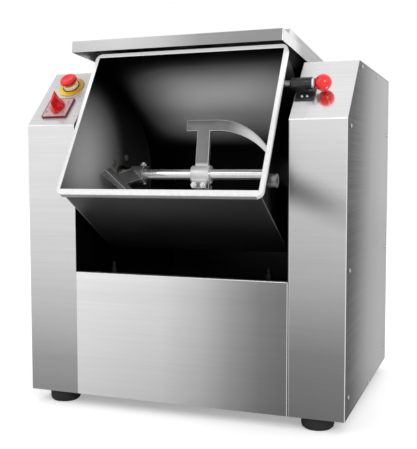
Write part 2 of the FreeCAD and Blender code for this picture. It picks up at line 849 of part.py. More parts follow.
def lock_pin_guide():
    body = new_body("lock_pin_guide")
    bore = s.pin_radius + s.pin_clearance
    start = s.guide_start
    shoulder = start + s.guide_length
    end = shoulder + s.spigot_length
    chamber = s.spigot_radius - 1.2
    turn(body, [(start, bore), (start, s.guide_radius - 1), (start + 1, s.guide_radius),
                (shoulder, s.guide_radius), (shoulder, s.spigot_radius),
                (end, s.spigot_radius), (end, bore), (end - 4, bore),
                (end - 4, chamber), (start + 5, chamber), (start + 5, bore)])
    return place_on_lock_axis(body)


def lock_pin_rod():
    body = new_body("lock_pin_rod")
    tip = s.bush_end + s.pin_tip_gap
    collar = s.guide_start + s.guide_length + s.spigot_length + s.pin_stroke
    r = s.pin_radius
    ring = s.spigot_radius - 1.5
    turn(body, [(tip, 0), (tip, r - 1), (tip + 1, r), (s.guide_start + 14, r),
                (s.guide_start + 14, ring), (s.guide_start + 16, ring),
                (s.guide_start + 16, r), (collar, r), (collar, s.guide_radius + 0.4),
                (collar + 2.4, s.guide_radius + 0.4), (collar + 2.4, r),
                (collar + 14, r), (collar + 14, 0)])
    return place_on_lock_axis(body)


def lock_pin_collar():
    """Black sleeve that covers the guide's spigot while the pin moves."""
    body = new_body("lock_pin_collar")
    start = s.guide_start + s.guide_length + s.pin_stroke + 0.3
    end = s.guide_start + s.guide_length + s.spigot_length + s.pin_stroke
    turn(body, [(start, s.spigot_radius + 0.4), (start, s.guide_radius),
                (end, s.guide_radius), (end, s.spigot_radius + 0.4)])
    return place_on_lock_axis(body)


def lock_pin_ball():
    start = (s.guide_start + s.guide_length + s.spigot_length + s.pin_stroke + 2.4)
    ball = doc.addObject("Part::Sphere", "ball_form")
    ball.setExpression("Radius", s.ball_radius.text)
    ball.setExpression("Placement.Base.x", (start + s.ball_radius - 1.5).text)
    flat = doc.addObject("Part::Box", "ball_seat")
    for side in ("Length", "Width", "Height"):
        flat.setExpression(side, (4 * s.ball_radius).text)
    flat.setExpression("Placement.Base.x", (start - 4 * s.ball_radius).text)
    flat.setExpression("Placement.Base.y", (-2 * s.ball_radius).text)
    flat.setExpression("Placement.Base.z", (-2 * s.ball_radius).text)
    seated = doc.addObject("Part::Cut", "ball_seated")
    seated.Base, seated.Tool = ball, flat
    bore = doc.addObject("Part::Cylinder", "ball_bore")
    bore.setExpression("Radius", (s.pin_radius + 0.02).text)
    bore.setExpression("Height", "11.6 + 5")
    bore.Placement = FreeCAD.Placement(FreeCAD.Vector(), FreeCAD.Rotation(ALONG_Y, 90))
    bore.setExpression("Placement.Base.x", (start - 5).text)
    knob = doc.addObject("Part::Cut", "lock_pin_ball")
    knob.Base, knob.Tool = seated, bore
    return place_on_lock_axis(knob)


def lock_pin_bracket():
    """Saddle under the guide, screwed to the sloping panel."""
    body = new_body("lock_pin_bracket")
    side = new_sketch(body, "YZ_Plane", s.bracket_start)
    half = s.bracket_width / 2
    rectangle(side, (-half, 0), (half, lock_stand_off))
    length = s.bracket_end - s.bracket_start
    pad(body, side, length)
    seat = new_sketch(body, "YZ_Plane", s.bracket_start)
    circle(seat, (0, lock_stand_off), s.guide_radius + 0.02)
    pocket(body, seat, length, reverse=True)
    return keep(place_on_slope(body, 0, lock_up))


# Mixing shaft and paddles

def mixing_shaft():
    body = new_body("mixing_shaft")
    r = s.shaft_radius
    turn(body, [(-s.shaft_left_end, 0), (-s.shaft_left_end, r - 1.5),
                (1.5 - s.shaft_left_end, r), (s.shaft_right_end - 1.5, r),
                (s.shaft_right_end, r - 1.5), (s.shaft_right_end, 0)])
    return place_on_pivot(body)


def clamp_bolt_places(length):
    """A long hub has two clamp bolts, a short one has one."""
    return [-length / 4, length / 4] if length.value > 40 else [dim(0)]


def clamp_hub(body, length, offset=0):
    """A split hub around the shaft, closed by bolts through its two ears."""
    start = offset - length / 2
    ear = s.hub_radius + s.ear_reach
    half_ear = s.ear_width / 2
    barrel = new_sketch(body, "YZ_Plane", start)
    circle(barrel, (0, 0), s.hub_radius)
    pad(body, barrel, length)
    ears = new_sketch(body, "YZ_Plane", start + 5)
    rectangle(ears, (-half_ear, -ear), (half_ear, 0))
    pad(body, ears, length - 10)
    bore = new_sketch(body, "YZ_Plane", start - 1)
    circle(bore, (0, 0), s.shaft_radius + 0.02)
    pocket(body, bore, length + 2, reverse=True)
    gap = new_sketch(body, "YZ_Plane", start - 1)
    rectangle(gap, (-1.5, -ear - 1), (1.5, 0))
    pocket(body, gap, length + 2, reverse=True)
    holes = new_sketch(body, "XZ_Plane", -half_ear - 1)
    for along in clamp_bolt_places(length):
        circle(holes, (offset + along, -bolt_depth()), s.clamp_bolt / 2 + 0.1)
    pocket(body, holes, s.ear_width + 2, reverse=True)


def bolt_depth():
    return s.hub_radius + s.ear_reach / 2


def paddle_bolts():
    """Hexagon bolts with nuts through the ears of all three clamp hubs."""
    template = new_body("clamp_bolt")
    half_ear = s.ear_width / 2
    shank = new_sketch(template, "XZ_Plane", -half_ear - 10)
    circle(shank, (0, 0), s.clamp_bolt / 2)
    pad(template, shank, s.ear_width + 22)
    for face, height in ((half_ear + 0.02, 6), (-half_ear - 6.52, 6.5)):
        head = new_sketch(template, "XZ_Plane", face)
        hexagon(head, (0, 0), s.clamp_bolt * 0.95)
        pad(template, head, height)
    hubs = [(s.centre_hub, s.centre_angle, s.hub_length),
            (-s.end_hub, s.left_angle, s.end_hub_length),
            (s.end_hub, s.right_angle, s.end_hub_length)]
    links = []
    for hub, angle, length in hubs:
        for along in clamp_bolt_places(length):
            link = doc.addObject("App::Link", f"clamp_bolt_{len(links) + 1}")
            link.LinkedObject = template
            turned = angle - 90
            link.Placement = FreeCAD.Placement(
                FreeCAD.Vector(), FreeCAD.Rotation(ALONG_X, turned.value))
            link.setExpression("Placement.Rotation.Angle", turned.text)
            link.setExpression("Placement.Base.x", (hub + along).text)
            link.setExpression("Placement.Base.y", (bolt_depth() * sine(turned)).text)
            link.setExpression("Placement.Base.z", (-bolt_depth() * cosine(turned)).text)
            links.append(link)
    group = doc.addObject("Part::Compound", "paddle_bolts")
    group.Links = links
    return place_on_pivot(group)


def hexagon(sketch, centre, radius):
    corners = [(centre[0] + radius * cosine(dim(60 * side)),
                centre[1] + radius * sine(dim(60 * side))) for side in range(6)]
    outline(sketch, corners)


def centre_paddle():
    """Stem, straight bar and curved blade in one plane through the shaft's axis."""
    body = new_body("centre_paddle")
    blade = new_sketch(body, "XZ_Plane")
    top = s.paddle_reach
    low = top - s.paddle_bar
    left = s.centre_hub - s.blade_left
    flat = s.blade_flat
    inner_tip = s.blade_end - 8
    outer_centre = (flat, top - s.blade_arc)
    inner_centre = (flat, low - s.blade_inner_arc)
    tips = [(s.blade_end, outer_centre[1] + rise(s.blade_arc, s.blade_end - flat)),
            (inner_tip, inner_centre[1] + rise(s.blade_inner_arc, inner_tip - flat))]
    stem_left = s.centre_hub - s.stem_width / 2
    stem_right = s.centre_hub + s.stem_width / 2
    stem_foot = s.hub_radius - 4
    corners = [(flat, top), *tips, (flat, low), (stem_right, low), (stem_right, stem_foot),
               (stem_left, stem_foot), (stem_left, low), (left, low), (left, top)]
    outline(blade, corners, {0: (outer_centre, -1), 2: (inner_centre, 1)})
    pad(body, blade, s.paddle_thickness, symmetric=True)
    clamp_hub(body, s.hub_length, s.centre_hub)
    return place_on_pivot(body, s.centre_angle - 90)


def rise(radius, across):
    """Height of a circle above its centre at a distance across."""
    return root(radius * radius - across * across)


def end_paddle(name, side, angle):
    """A T-shaped paddle whose head is pitched to push dough to the middle."""
    body = new_body(name)
    clamp_hub(body, s.end_hub_length)
    head = new_sketch(body, "XY_Plane", s.hub_radius - 4)
    head.AttachmentOffset = FreeCAD.Placement(
        FreeCAD.Vector(), FreeCAD.Rotation(ALONG_Z, s.end_pitch.value * side))
    head.setExpression("AttachmentOffset.Rotation.Angle", (side * s.end_pitch).text)
    head.setExpression("AttachmentOffset.Base.z", (s.hub_radius - 4).text)
    half = s.paddle_thickness / 2
    rectangle(head, (-s.stem_width / 2, -half), (s.stem_width / 2, half))
    pad(body, head, s.paddle_reach - s.hub_radius + 4)
    bar = new_sketch(body, "XY_Plane")
    bar.AttachmentOffset = head.AttachmentOffset
    bar.setExpression("AttachmentOffset.Rotation.Angle", (side * s.end_pitch).text)
    bar.setExpression("AttachmentOffset.Base.z", (s.paddle_reach - s.paddle_bar).text)
    rectangle(bar, (-s.end_blade_half, -half), (s.end_blade_half, half))
    pad(body, bar, s.paddle_bar)
    return place_on_pivot(body, angle - 90, side * s.end_hub)


# Drive in the right tower

def gear_outline(teeth, module, thinning, bore):
    """An involute gear's face, with one tooth centred on +Z."""
    pitch = module * teeth / 2
    base = pitch * math.cos(math.radians(20))
    tip = pitch + module
    foot = pitch - 1.25 * module
    half_tooth = math.pi / (2 * teeth) - thinning / (2 * pitch)
    pitch_roll = math.tan(math.radians(20)) - math.radians(20)

    def flank(radius):
        reach = max(radius, base)
        pressure = math.acos(base / reach)
        return half_tooth + pitch_roll - (math.tan(pressure) - pressure)

    start = max(base, foot)
    radii = [start + (tip - start) * step / 4 for step in range(5)]
    edges = []
    last = None
    first = None
    for tooth in range(teeth):
        middle = math.pi / 2 + 2 * math.pi * tooth / teeth

        def at(radius, angle):
            return FreeCAD.Vector(0, radius * math.cos(middle + angle),
                                  radius * math.sin(middle + angle))

        rising = [at(radius, -flank(radius)) for radius in radii]
        falling = [at(radius, flank(radius)) for radius in reversed(radii)]
        root_in = at(foot, -flank(start))
        root_out = at(foot, flank(start))
        if last is None:
            first = root_in
        else:
            edges.append(Part.LineSegment(last, root_in).toShape())
        edges += joined(root_in, rising) + curve(rising)
        edges.append(Part.LineSegment(rising[-1], falling[0]).toShape())
        edges += curve(falling) + joined(falling[-1], [root_out])
        last = root_out
    edges.append(Part.LineSegment(last, first).toShape())
    hole = Part.Wire(Part.Circle(FreeCAD.Vector(), ALONG_X, bore).toShape())
    return Part.makeFace([Part.Wire(edges), hole], "Part::FaceMakerBullseye")


def curve(points):
    spline = Part.BSplineCurve()
    spline.interpolate(points)
    return [spline.toShape()]


def joined(start, points):
    if start.distanceToPoint(points[0]) < 1e-6:
        return []
    return [Part.LineSegment(start, points[0]).toShape()]


def gear(name, teeth, bore, start, hub_radius, hub_end):
    """A spur gear with a hub, teeth cut as involutes."""
    feature = doc.addObject("Part::Feature", name)
    face = gear_outline(int(teeth.value), s.gear_module.value, s.backlash.value / 2, bore.value)
    wheel = face.extrude(ALONG_X * s.gear_face.value)
    hub = Part.makeCylinder(hub_radius, hub_end - start.value, FreeCAD.Vector(), ALONG_X)
    hub = hub.cut(Part.makeCylinder(bore.value, hub_end, FreeCAD.Vector(), ALONG_X))
    feature.Shape = wheel.fuse(hub).removeSplitter()
    return feature


def driven_gear():
    wheel = gear("driven_gear", s.gear_teeth, s.shaft_radius + 0.02, s.gear_start, 30,
                 s.shaft_right_end.value - 4)
    place(wheel, s.gear_start, s.pivot_back, s.pivot_height, ALONG_X,
          s.countershaft_angle - 90)
    return keep(wheel)


def pinion():
    wheel = gear("pinion", s.pinion_teeth, s.countershaft_radius + 0.02, s.gear_start, 18,
                 s.gear_start.value + 26)
    half_pitch = 180 / s.pinion_teeth
    place(wheel, s.gear_start, counter_back, counter_height, ALONG_X,
          s.countershaft_angle + 90 + half_pitch)
    return keep(wheel)


def place_on_counter(piece):
    return keep(place(piece, 0, counter_back, counter_height))


def place_on_motor(piece):
    return keep(place(piece, 0, s.motor_back, s.motor_height))


def countershaft():
    body = new_body("countershaft")
    r = s.countershaft_radius
    start = plate_inner + 1
    end = s.pulley_start + s.pulley_width + 4
    turn(body, [(start, 0), (start, r - 1), (start + 1, r), (end - 1, r), (end, r - 1),
                (end, 0)])
    return place_on_counter(body)


def countershaft_bearing():
    body = new_body("countershaft_bearing")
    bore = s.countershaft_radius + s.running_gap
    start = plate_outer
    turn(body, [(start - 6, bore), (start - 6, 20), (start, 20), (start, 36),
                (start + 7, 36), (start + 9, 24), (start + 26, 24), (start + 26, bore)])
    return place_on_counter(body)


def pulley(name, radius, bore):
    """A V-belt pulley: the groove's floor is flat and its walls flare."""
    body = new_body(name)
    start, end = s.pulley_start, s.pulley_start + s.pulley_width
    middle = s.pulley_start + s.pulley_width / 2
    floor = radius - s.belt_height - 2
    narrow = s.belt_width / 2 + 0.4
    wide = s.belt_width / 2 + 2.5
    turn(body, [(start, bore), (start, radius), (middle - wide, radius),
                (middle - narrow, floor), (middle + narrow, floor),
                (middle + wide, radius), (end, radius), (end, bore)])
    return body


def large_pulley():
    body = pulley("large_pulley", s.large_pulley_radius, s.countershaft_radius + 0.02)
    windows = new_sketch(body, "YZ_Plane", s.pulley_start - 1)
    for number in range(6):
        angle = dim(60 * number)
        circle(windows, (s.large_pulley_radius * 0.55 * cosine(angle),
                         s.large_pulley_radius * 0.55 * sine(angle)), 20)
    pocket(body, windows, s.pulley_width + 2, reverse=True)
    return place_on_counter(body)


def motor_pulley():
    body = pulley("motor_pulley", s.motor_pulley_radius, s.motor_shaft_radius + 0.02)
    return place_on_motor(body)


def motor_shaft():
    body = new_body("motor_shaft")
    r = s.motor_shaft_radius
    start = s.motor_face - 12
    end = s.pulley_start + s.pulley_width + 4
    turn(body, [(start, 0), (start, r), (end - 1, r), (end, r - 1), (end, 0)])
    return place_on_motor(body)


def motor_housing():
    """Finned motor body with its end shields; the bore takes the shaft."""
    body = new_body("motor_housing")
    face = s.motor_face
    back = face - s.motor_length
    radius = s.motor_radius
    bore = s.motor_shaft_radius + s.running_gap
    turn(body, [(back, 0), (back, radius - 6), (back + 6, radius - 1),
                (back + 40, radius - 1), (back + 44, radius - 7), (face - 34, radius - 7),
                (face - 30, radius - 1), (face - 8, radius - 4), (face - 4, radius - 30),
                (face, radius - 34), (face, bore), (face - 12.5, bore),
                (face - 12.5, 0)])
    fin = new_sketch(body, "YZ_Plane", back + 44)
    for number in range(12):
        angle = dim(30 * number + 15)
        root_at = radius - 9
        tip_at = radius - 1
        across = (-1.5 * sine(angle), 1.5 * cosine(angle))
        ends = [(root_at * cosine(angle), root_at * sine(angle)),
                (tip_at * cosine(angle), tip_at * sine(angle))]
        outline(fin, [(ends[0][0] + across[0], ends[0][1] + across[1]),
                      (ends[1][0] + across[0], ends[1][1] + across[1]),
                      (ends[1][0] - across[0], ends[1][1] - across[1]),
                      (ends[0][0] - across[0], ends[0][1] - across[1])])
    pad(body, fin, s.motor_length - 78)
    foot = s.motor_foot
    drop = s.motor_height - s.base_height - s.motor_base_gauge
    feet_sketch = new_sketch(body, "XY_Plane", -drop)
    for x in (back + s.motor_foot_inset, face - s.motor_foot_inset - foot):
        for y in (-s.motor_foot_half_gap - foot, s.motor_foot_half_gap):
            rectangle(feet_sketch, (x, y), (x + foot, y + foot))
    pad(body, feet_sketch, drop - s.motor_foot_overlap)
    return place_on_motor(body)


def motor_base():
    """Steel plate across the base bands, with slots that let the belt be tightened."""
    body = new_body("motor_base")
    sheet = new_sketch(body, "XY_Plane", s.base_height)
    face = s.motor_face
    back = face - s.motor_length
    rectangle(sheet, (back + 40, s.motor_band_front - 12), (face - 40, s.motor_band_rear + 12))
    pad(body, sheet, s.motor_base_gauge)
    return place_fixed(body)


def v_belt():
    """The belt runs clear of both grooves by the same small gap."""
    body = new_body("v_belt")
    middle = s.pulley_start + s.pulley_width / 2
    inner_gap = s.belt_height + 1.7
    for_outer = [(s.large_pulley_radius - inner_gap + s.belt_height),
                 (s.motor_pulley_radius - inner_gap + s.belt_height)]
    for_inner = [s.large_pulley_radius - inner_gap, s.motor_pulley_radius - inner_gap]
    outer = new_sketch(body, "YZ_Plane", middle - s.belt_width / 2)
    belt_loop(outer, *for_outer)
    pad(body, outer, s.belt_width)
    inner = new_sketch(body, "YZ_Plane", middle - s.belt_width / 2 - 1)
    belt_loop(inner, *for_inner)
    pocket(body, inner, s.belt_width + 2, reverse=True)
    return place_fixed(body)


def belt_loop(sketch, large, small):
    """Two arcs joined by their outer tangents, around both pulleys."""
    along_y = s.motor_back - counter_back
    along_z = s.motor_height - counter_height
    span = root(along_y * along_y + along_z * along_z)
    unit = (along_y / span, along_z / span)
    lean = (large - small) / span
    side = root(1 - lean * lean)
    upper, lower = (counter_back, counter_height), (s.motor_back, s.motor_height)
    corners = []
    for sign, wheels in ((1, ((upper, large), (lower, small))),
                         (-1, ((lower, small), (upper, large)))):
        normal = (unit[0] * lean - sign * unit[1] * side,
                  unit[1] * lean + sign * unit[0] * side)
        for centre, radius in wheels:
            corners.append((centre[0] + radius * normal[0], centre[1] + radius * normal[1]))
    outline(sketch, corners, {1: (lower, -1), 3: (upper, -1)})


# Controls on the left tower

def estop_ring():
    body = new_body("estop_ring")
    r = s.estop_ring_radius
    turn(body, [(0, 11.2), (0, r - 0.5), (0.5, r), (1.8, r), (2.6, r - 1.2),
                (3.2, 19), (3.2, 11.2)], "V_Axis")
    return keep(place_on_slope(body, -s.estop_side, s.estop_up))


def estop_body():
    """Collar above the ring and the contact block below the panel."""
    body = new_body("estop_body")
    turn(body, [(-38, 0), (-38, 14), (-14, 14), (-14, 11), (3.2, 11), (3.2, 18.5),
                (8, 17.5), (11, 15), (11, 8.1), (-6, 8.1), (-6, 0)], "V_Axis")
    return keep(place_on_slope(body, -s.estop_side, s.estop_up))


def estop_button():
    """Mushroom head on its stem."""
    body = new_body("estop_button")
    r = s.estop_head_radius
    under = 11.4 + s.estop_stroke
    turn(body, [(-0.5, 0), (-0.5, 8), (under - 0.2, 8), (under, 12), (under + 1.6, r - 2),
                (under + 4, r), (under + 8, r - 0.6), (under + 11, r - 4),
                (under + 12, r - 8), (under + 10.6, r - 12), (under + 10.6, 0)], "V_Axis")
    return keep(place_on_slope(body, -s.estop_side, s.estop_up))


def switch_plate():
    body = new_body("switch_plate")
    half = s.switch_plate / 2
    form = new_sketch(body, "XY_Plane")
    rectangle(form, (-half, -half), (half, half))
    circle(form, (0, 0), 5.3)
    pad(body, form, s.switch_plate_gauge)
    fillet(body, ALONG_Z, 3)
    return keep(place_on_slope(body, -s.switch_side, s.switch_up))


def switch_body():
    body = new_body("switch_body")
    form = new_sketch(body, "XY_Plane", -s.sheet_gauge - 42)
    rectangle(form, (-22, -22), (22, 22))
    pad(body, form, 42)
    neck = new_sketch(body, "XY_Plane", -s.sheet_gauge)
    circle(neck, (0, 0), 13.8)
    pad(body, neck, s.sheet_gauge)
    bore = new_sketch(body, "XY_Plane", -12)
    circle(bore, (0, 0), 5.3)
    pocket(body, bore, 14, reverse=True)
    return keep(place_on_slope(body, -s.switch_side, s.switch_up))


def wing_outline(body, height, low, high, middle, half):
    """A four-cornered outline across the knob, from its tail to its nose."""
    sketch = new_sketch(body, "XY_Plane", height)
    outline(sketch, [(0, low), (half, middle), (0, high), (-half, middle)])
    return sketch


def switch_knob():
    """Tall wing with a ridge on a round skirt, with its spindle through the plate."""
    body = new_body("switch_knob")
    base = s.switch_plate_gauge + 0.3
    turn(body, [(-11, 0), (-11, 5.2), (base, 5.2), (base, 16), (base + 3, 15.5),
                (base + 4, 14), (base + 4, 0)], "V_Axis")
    half = s.knob_length / 2
    foot = wing_outline(body, base + 1, -half, half, half / 8, s.knob_width / 2)
    ridge = wing_outline(body, base + s.knob_height, half / 4, half * 0.75, half * 0.45,
                         s.knob_ridge / 2)
    wing = body.newObject("PartDesign::AdditiveLoft", "switch_knob_wing")
    wing.Profile = foot
    wing.Sections = [ridge]
    wing.Ruled = True
    doc.recompute()
    return keep(place_on_slope(body, -s.switch_side, s.switch_up))


def cable_gland():
    """Cable entry at the foot of the left tower's back."""
    body = new_body("cable_gland")
    back = s.tower_depth
    inside = back - s.sheet_gauge
    end = back + s.gland_reach
    r = s.gland_radius
    turn(body, [(inside - 8, 6), (inside - 8, r + 3), (inside, r + 3), (inside, r), (back, r),
                (back, r + 4), (back + 7, r + 4), (back + 7, r + 2), (end - 4, r + 2),
                (end, r - 2), (end, 6)], "V_Axis", "XY_Plane")
    return keep(place(body, -gland_side, 0, s.gland_height))


# Lid

def place_on_lid(piece):
    return keep(place(piece, 0, s.lid_front, lid_height, ALONG_X, -s.lid_angle))


def frustum(body, kind, low, high, inset):
    """A crown form between two rectangles, drawn in at front and rear."""
    inset = dim(inset)
    floor = new_sketch(body, "XY_Plane", low)
    side = s.crown_half_width - inset
    rectangle(floor, (-side, s.crown_front + inset), (side, s.crown_rear - inset))
    ceiling = new_sketch(body, "XY_Plane", high)
    side = s.crown_half_width - 2.5 - inset
    rectangle(ceiling, (-side, s.crown_front + s.crown_slope_run + inset),
              (side, s.crown_rear - s.crown_slope_run - inset))
    loft = body.newObject("PartDesign::" + kind, body.Name + "_loft")
    loft.Profile = floor
    loft.Sections = [ceiling]
    loft.Ruled = True
    doc.recompute()
    return loft


def lid_panel():
    body = new_body("lid_panel")
    g = s.lid_gauge
    side = s.lid_half_width
    form = new_sketch(body, "XY_Plane", -s.lid_lip)
    rectangle(form, (-side, 0), (side, s.lid_length))
    pad(body, form, s.lid_lip)
    inside = new_sketch(body, "XY_Plane", -s.lid_lip)
    rectangle(inside, (g - side, g), (side - g, s.lid_length + 1))
    pocket(body, inside, s.lid_lip - g, reverse=True)
    frustum(body, "AdditiveLoft", -g / 2, s.lid_crown, 0)
    frustum(body, "SubtractiveLoft", -g, s.lid_crown - g, g)
    return place_on_lid(body)


def hinge_positions():
    return [-s.hinge_place, s.hinge_place]


def lid_hinge_leaves():
    """Leaves under the lid's rear edge, each with its middle knuckle."""
    drop = hinge_in_lid[1]
    back = hinge_in_lid[0]
    template = new_body("lid_hinge_leaf")
    third = s.hinge_width / 6 - 0.3
    leaf = new_sketch(template, "YZ_Plane", -s.hinge_width / 2)
    under = -s.lid_gauge - 0.02
    rear = s.lid_length - 2
    bottom = under - s.hinge_leaf_gauge
    rectangle(leaf, (rear - s.hinge_leaf_depth, bottom), (rear, under))
    pad(template, leaf, s.hinge_width)
    arm = new_sketch(template, "YZ_Plane", -third)
    outline(arm, [(rear - 8, bottom), (rear - 8, under), (back, drop + s.hinge_radius),
                  (back, drop + s.hinge_radius - s.hinge_leaf_gauge)])
    pad(template, arm, 2 * third)
    knuckle = new_sketch(template, "YZ_Plane", -third)
    circle(knuckle, (back, drop), s.hinge_radius)
    pad(template, knuckle, 2 * third)
    bore = new_sketch(template, "YZ_Plane", -third - 1)
    circle(bore, (back, drop), s.hinge_pin_radius + s.running_gap)
    pocket(template, bore, 2 * third + 2, reverse=True)
    links = []
    for number, x in enumerate(hinge_positions(), start=1):
        link = doc.addObject("App::Link", f"lid_hinge_leaf_{number}")
        link.LinkedObject = template
        link.setExpression("Placement.Base.x", dim(x).text)
        links.append(link)
    group = doc.addObject("Part::Compound", "lid_hinge_leaves")
    group.Links = links
    return place_on_lid(group)


lid_reach_y = s.hinge_back - s.lid_front
lid_reach_z = hinge_height - lid_height
hinge_in_lid = (lid_reach_y * cosine(s.lid_angle) - lid_reach_z * sine(s.lid_angle),
                lid_reach_y * sine(s.lid_angle) + lid_reach_z * cosine(s.lid_angle))


def hinge_base_leaves():
    template = new_body("hinge_base_leaf")
    top = rear_panel_height
    sixth = s.hinge_width / 6
    leaf = new_sketch(template, "YZ_Plane", -s.hinge_width / 2)
    rectangle(leaf, (s.hinge_back + 2, top), (s.tower_depth - 2, top + s.hinge_leaf_gauge))
    pad(template, leaf, s.hinge_width)
    for start in (-s.hinge_width / 2, sixth):
        knuckle = new_sketch(template, "YZ_Plane", start)
        circle(knuckle, (s.hinge_back, hinge_height), s.hinge_radius)
        pad(template, knuckle, 2 * sixth)
        neck = new_sketch(template, "YZ_Plane", start)
        outline(neck, [(s.hinge_back + 1, top + 2), (s.hinge_back + 8, top + 2),
                       (s.hinge_back + 4, hinge_height), (s.hinge_back + 1, hinge_height)])
        pad(template, neck, 2 * sixth)
    gap = new_sketch(template, "YZ_Plane", -sixth)
    rectangle(gap, (s.hinge_back - 10, top - 1), (s.hinge_back + 9, hinge_height + 9))
    pocket(template, gap, 2 * sixth, reverse=True)
    bore = new_sketch(template, "YZ_Plane", -s.hinge_width / 2 - 1)
    circle(bore, (s.hinge_back, hinge_height), s.hinge_pin_radius + 0.02)
    pocket(template, bore, s.hinge_width + 2, reverse=True)
    return copies("hinge_base_leaves", template, [(x, 0, 0) for x in hinge_positions()])


def hinge_pins():
    template = new_body("hinge_pin")
    half = s.hinge_width / 2
    turn(template, [(-half, 0), (-half, s.hinge_pin_radius), (half, s.hinge_pin_radius),
                    (half, s.hinge_pin_radius + 1.5), (half + 1.5, s.hinge_pin_radius + 1),
                    (half + 1.5, 0)])
    return copies("hinge_pins", template,
                  [(x, s.hinge_back, hinge_height) for x in hinge_positions()])


# Build and write

def build():
    base_frame()
    feet()
    left_tower_housing()
    right_tower_housing()
    side_cover("left_side_cover", -1)
    side_cover("right_side_cover", 1)
    side_cover_screws()
    front_panel()
    rear_panel()
    shelf_plate()
    rest_studs()
    bearing_plate("left_bearing_plate", -1, left_plate_cuts)
    bearing_plate("right_bearing_plate", 1, right_plate_cuts)
    trunnion_bearing("left_trunnion_bearing", -1)
    trunnion_bearing("right_trunnion_bearing", 1)
    bearing_bolts()
    trough_shell()
    trough_end_wall("trough_left_wall", -1, [])
    trough_end_wall("trough_right_wall", 1, lock_places())
    trough_rim()
    trunnion("left_trunnion", -1)
    trunnion("right_trunnion", 1)
    shaft_bushes()
    upright, tipped = lock_places()
    lock_bush("upright_lock_bush", upright, s.upright_bush_radius)
    lock_bush("tilt_lock_bush", tipped, s.tilt_bush_radius)
    lock_pin_guide()
    lock_pin_rod()
    lock_pin_collar()
    lock_pin_ball()
    lock_pin_bracket()
    mixing_shaft()
    centre_paddle()
    end_paddle("left_paddle", -1, s.left_angle)
    end_paddle("right_paddle", 1, s.right_angle)
    paddle_bolts()
    driven_gear()
    countershaft()
    countershaft_bearing()
    pinion()
    large_pulley()
    motor_housing()
    motor_base()
    motor_shaft()
    motor_pulley()
    v_belt()
    estop_ring()
    estop_body()
    estop_button()
    switch_plate()
    switch_body()
    switch_knob()
    cable_gland()
    lid_panel()
    lid_hinge_leaves()
    hinge_base_leaves()
    hinge_pins()


def check():
    doc.recompute()
    for item in doc.Objects:
        if "Invalid" in item.State or "Error" in item.State:
            raise RuntimeError(f"{item.Label} did not recompute")
    for node in nodes:
        if node.Shape.isNull() or not node.Shape.isValid() or not node.Shape.Solids:
            raise RuntimeError(f"{node.Label} has no valid solid")


def write():
    os.makedirs("parts", exist_ok=True)
    for node in nodes:
        node.Shape.exportStep(os.path.join("parts", node.Label + ".step"))


build()
check()
write()
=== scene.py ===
import math

import bmesh
import bpy
from mathutils import Matrix, Quaternion, Vector


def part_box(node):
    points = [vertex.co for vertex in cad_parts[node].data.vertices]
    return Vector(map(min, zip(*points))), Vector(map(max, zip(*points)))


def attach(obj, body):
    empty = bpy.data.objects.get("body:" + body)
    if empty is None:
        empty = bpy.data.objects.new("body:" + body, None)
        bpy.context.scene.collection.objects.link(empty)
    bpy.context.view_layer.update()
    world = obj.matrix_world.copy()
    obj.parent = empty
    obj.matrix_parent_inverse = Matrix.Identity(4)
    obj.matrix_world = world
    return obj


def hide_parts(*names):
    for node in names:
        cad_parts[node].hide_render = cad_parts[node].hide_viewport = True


bl_info = {
    "name": "Dough mixer dressing",
    "version": (1, 0, 0),
    "blender": (4, 5, 0),
    "location": "View3D > Sidebar > Dough mixer",
    "description": "Gives a packed dough mixer its folds, small fittings, finishes and studio",
    "category": "Object",
}

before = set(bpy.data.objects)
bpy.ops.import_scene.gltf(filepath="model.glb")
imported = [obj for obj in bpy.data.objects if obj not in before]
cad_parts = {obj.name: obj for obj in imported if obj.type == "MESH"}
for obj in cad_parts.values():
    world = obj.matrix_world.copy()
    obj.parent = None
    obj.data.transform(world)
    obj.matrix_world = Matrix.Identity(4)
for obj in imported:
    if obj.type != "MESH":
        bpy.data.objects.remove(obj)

# Lengths are in metres. X runs across the machine, Y to its back and Z up.

FRONT = Vector((0, -1, 0))
BACK = Vector((0, 1, 0))
RIGHT = Vector((1, 0, 0))
UP = Vector((0, 0, 1))
Z_TO_X = Matrix.Rotation(math.pi / 2, 3, "Y")

# The towers' slopes
SLOPE_TURN = math.radians(45.2)
SLOPE_OUT = Vector((0, -math.sin(SLOPE_TURN), math.cos(SLOPE_TURN)))
SLOPE_UP = Vector((0, math.cos(SLOPE_TURN), math.sin(SLOPE_TURN)))
ONTO_SLOPE = Matrix.Rotation(SLOPE_TURN, 3, "X")

# The trough's mouth, as it stands in the photograph
MOUTH_TURN = math.radians(58.3)
UNDER_RIM = Vector((0, -math.cos(MOUTH_TURN), -math.sin(MOUTH_TURN)))
INTO_MOUTH = Vector((0, -0.53, -0.85))

# What counts as a fold, and how sharp edges are rounded
SHORTEST_FOLD = 0.008
NARROWEST_FACE = 0.004
SHARP_TURN = 30.0
LID_FOLD_TURN = 10.0
PADDLE_ROUNDING = 0.0009
RING_ROUNDING = 0.0006
COLLAR_ROUNDING = 0.0004
BUTTON_ROUNDING = 0.0012

# The four bolts of each trunnion's flange
FLANGE_BOLT_RING = 0.049
FLANGE_BOLT_START = math.radians(56.0)
HEX_RADIUS = 0.0085
HEX_TAPER = 0.94
HEX_HEIGHT = 0.004
HEX_ROUNDING = 0.0005

# The seal under the stop button's collar: (height, radius)
SEAL_PROFILE = [(0.0, 0.0186), (0.0, 0.0206), (0.0006, 0.0210), (0.0012, 0.0204),
                (0.0012, 0.0186)]

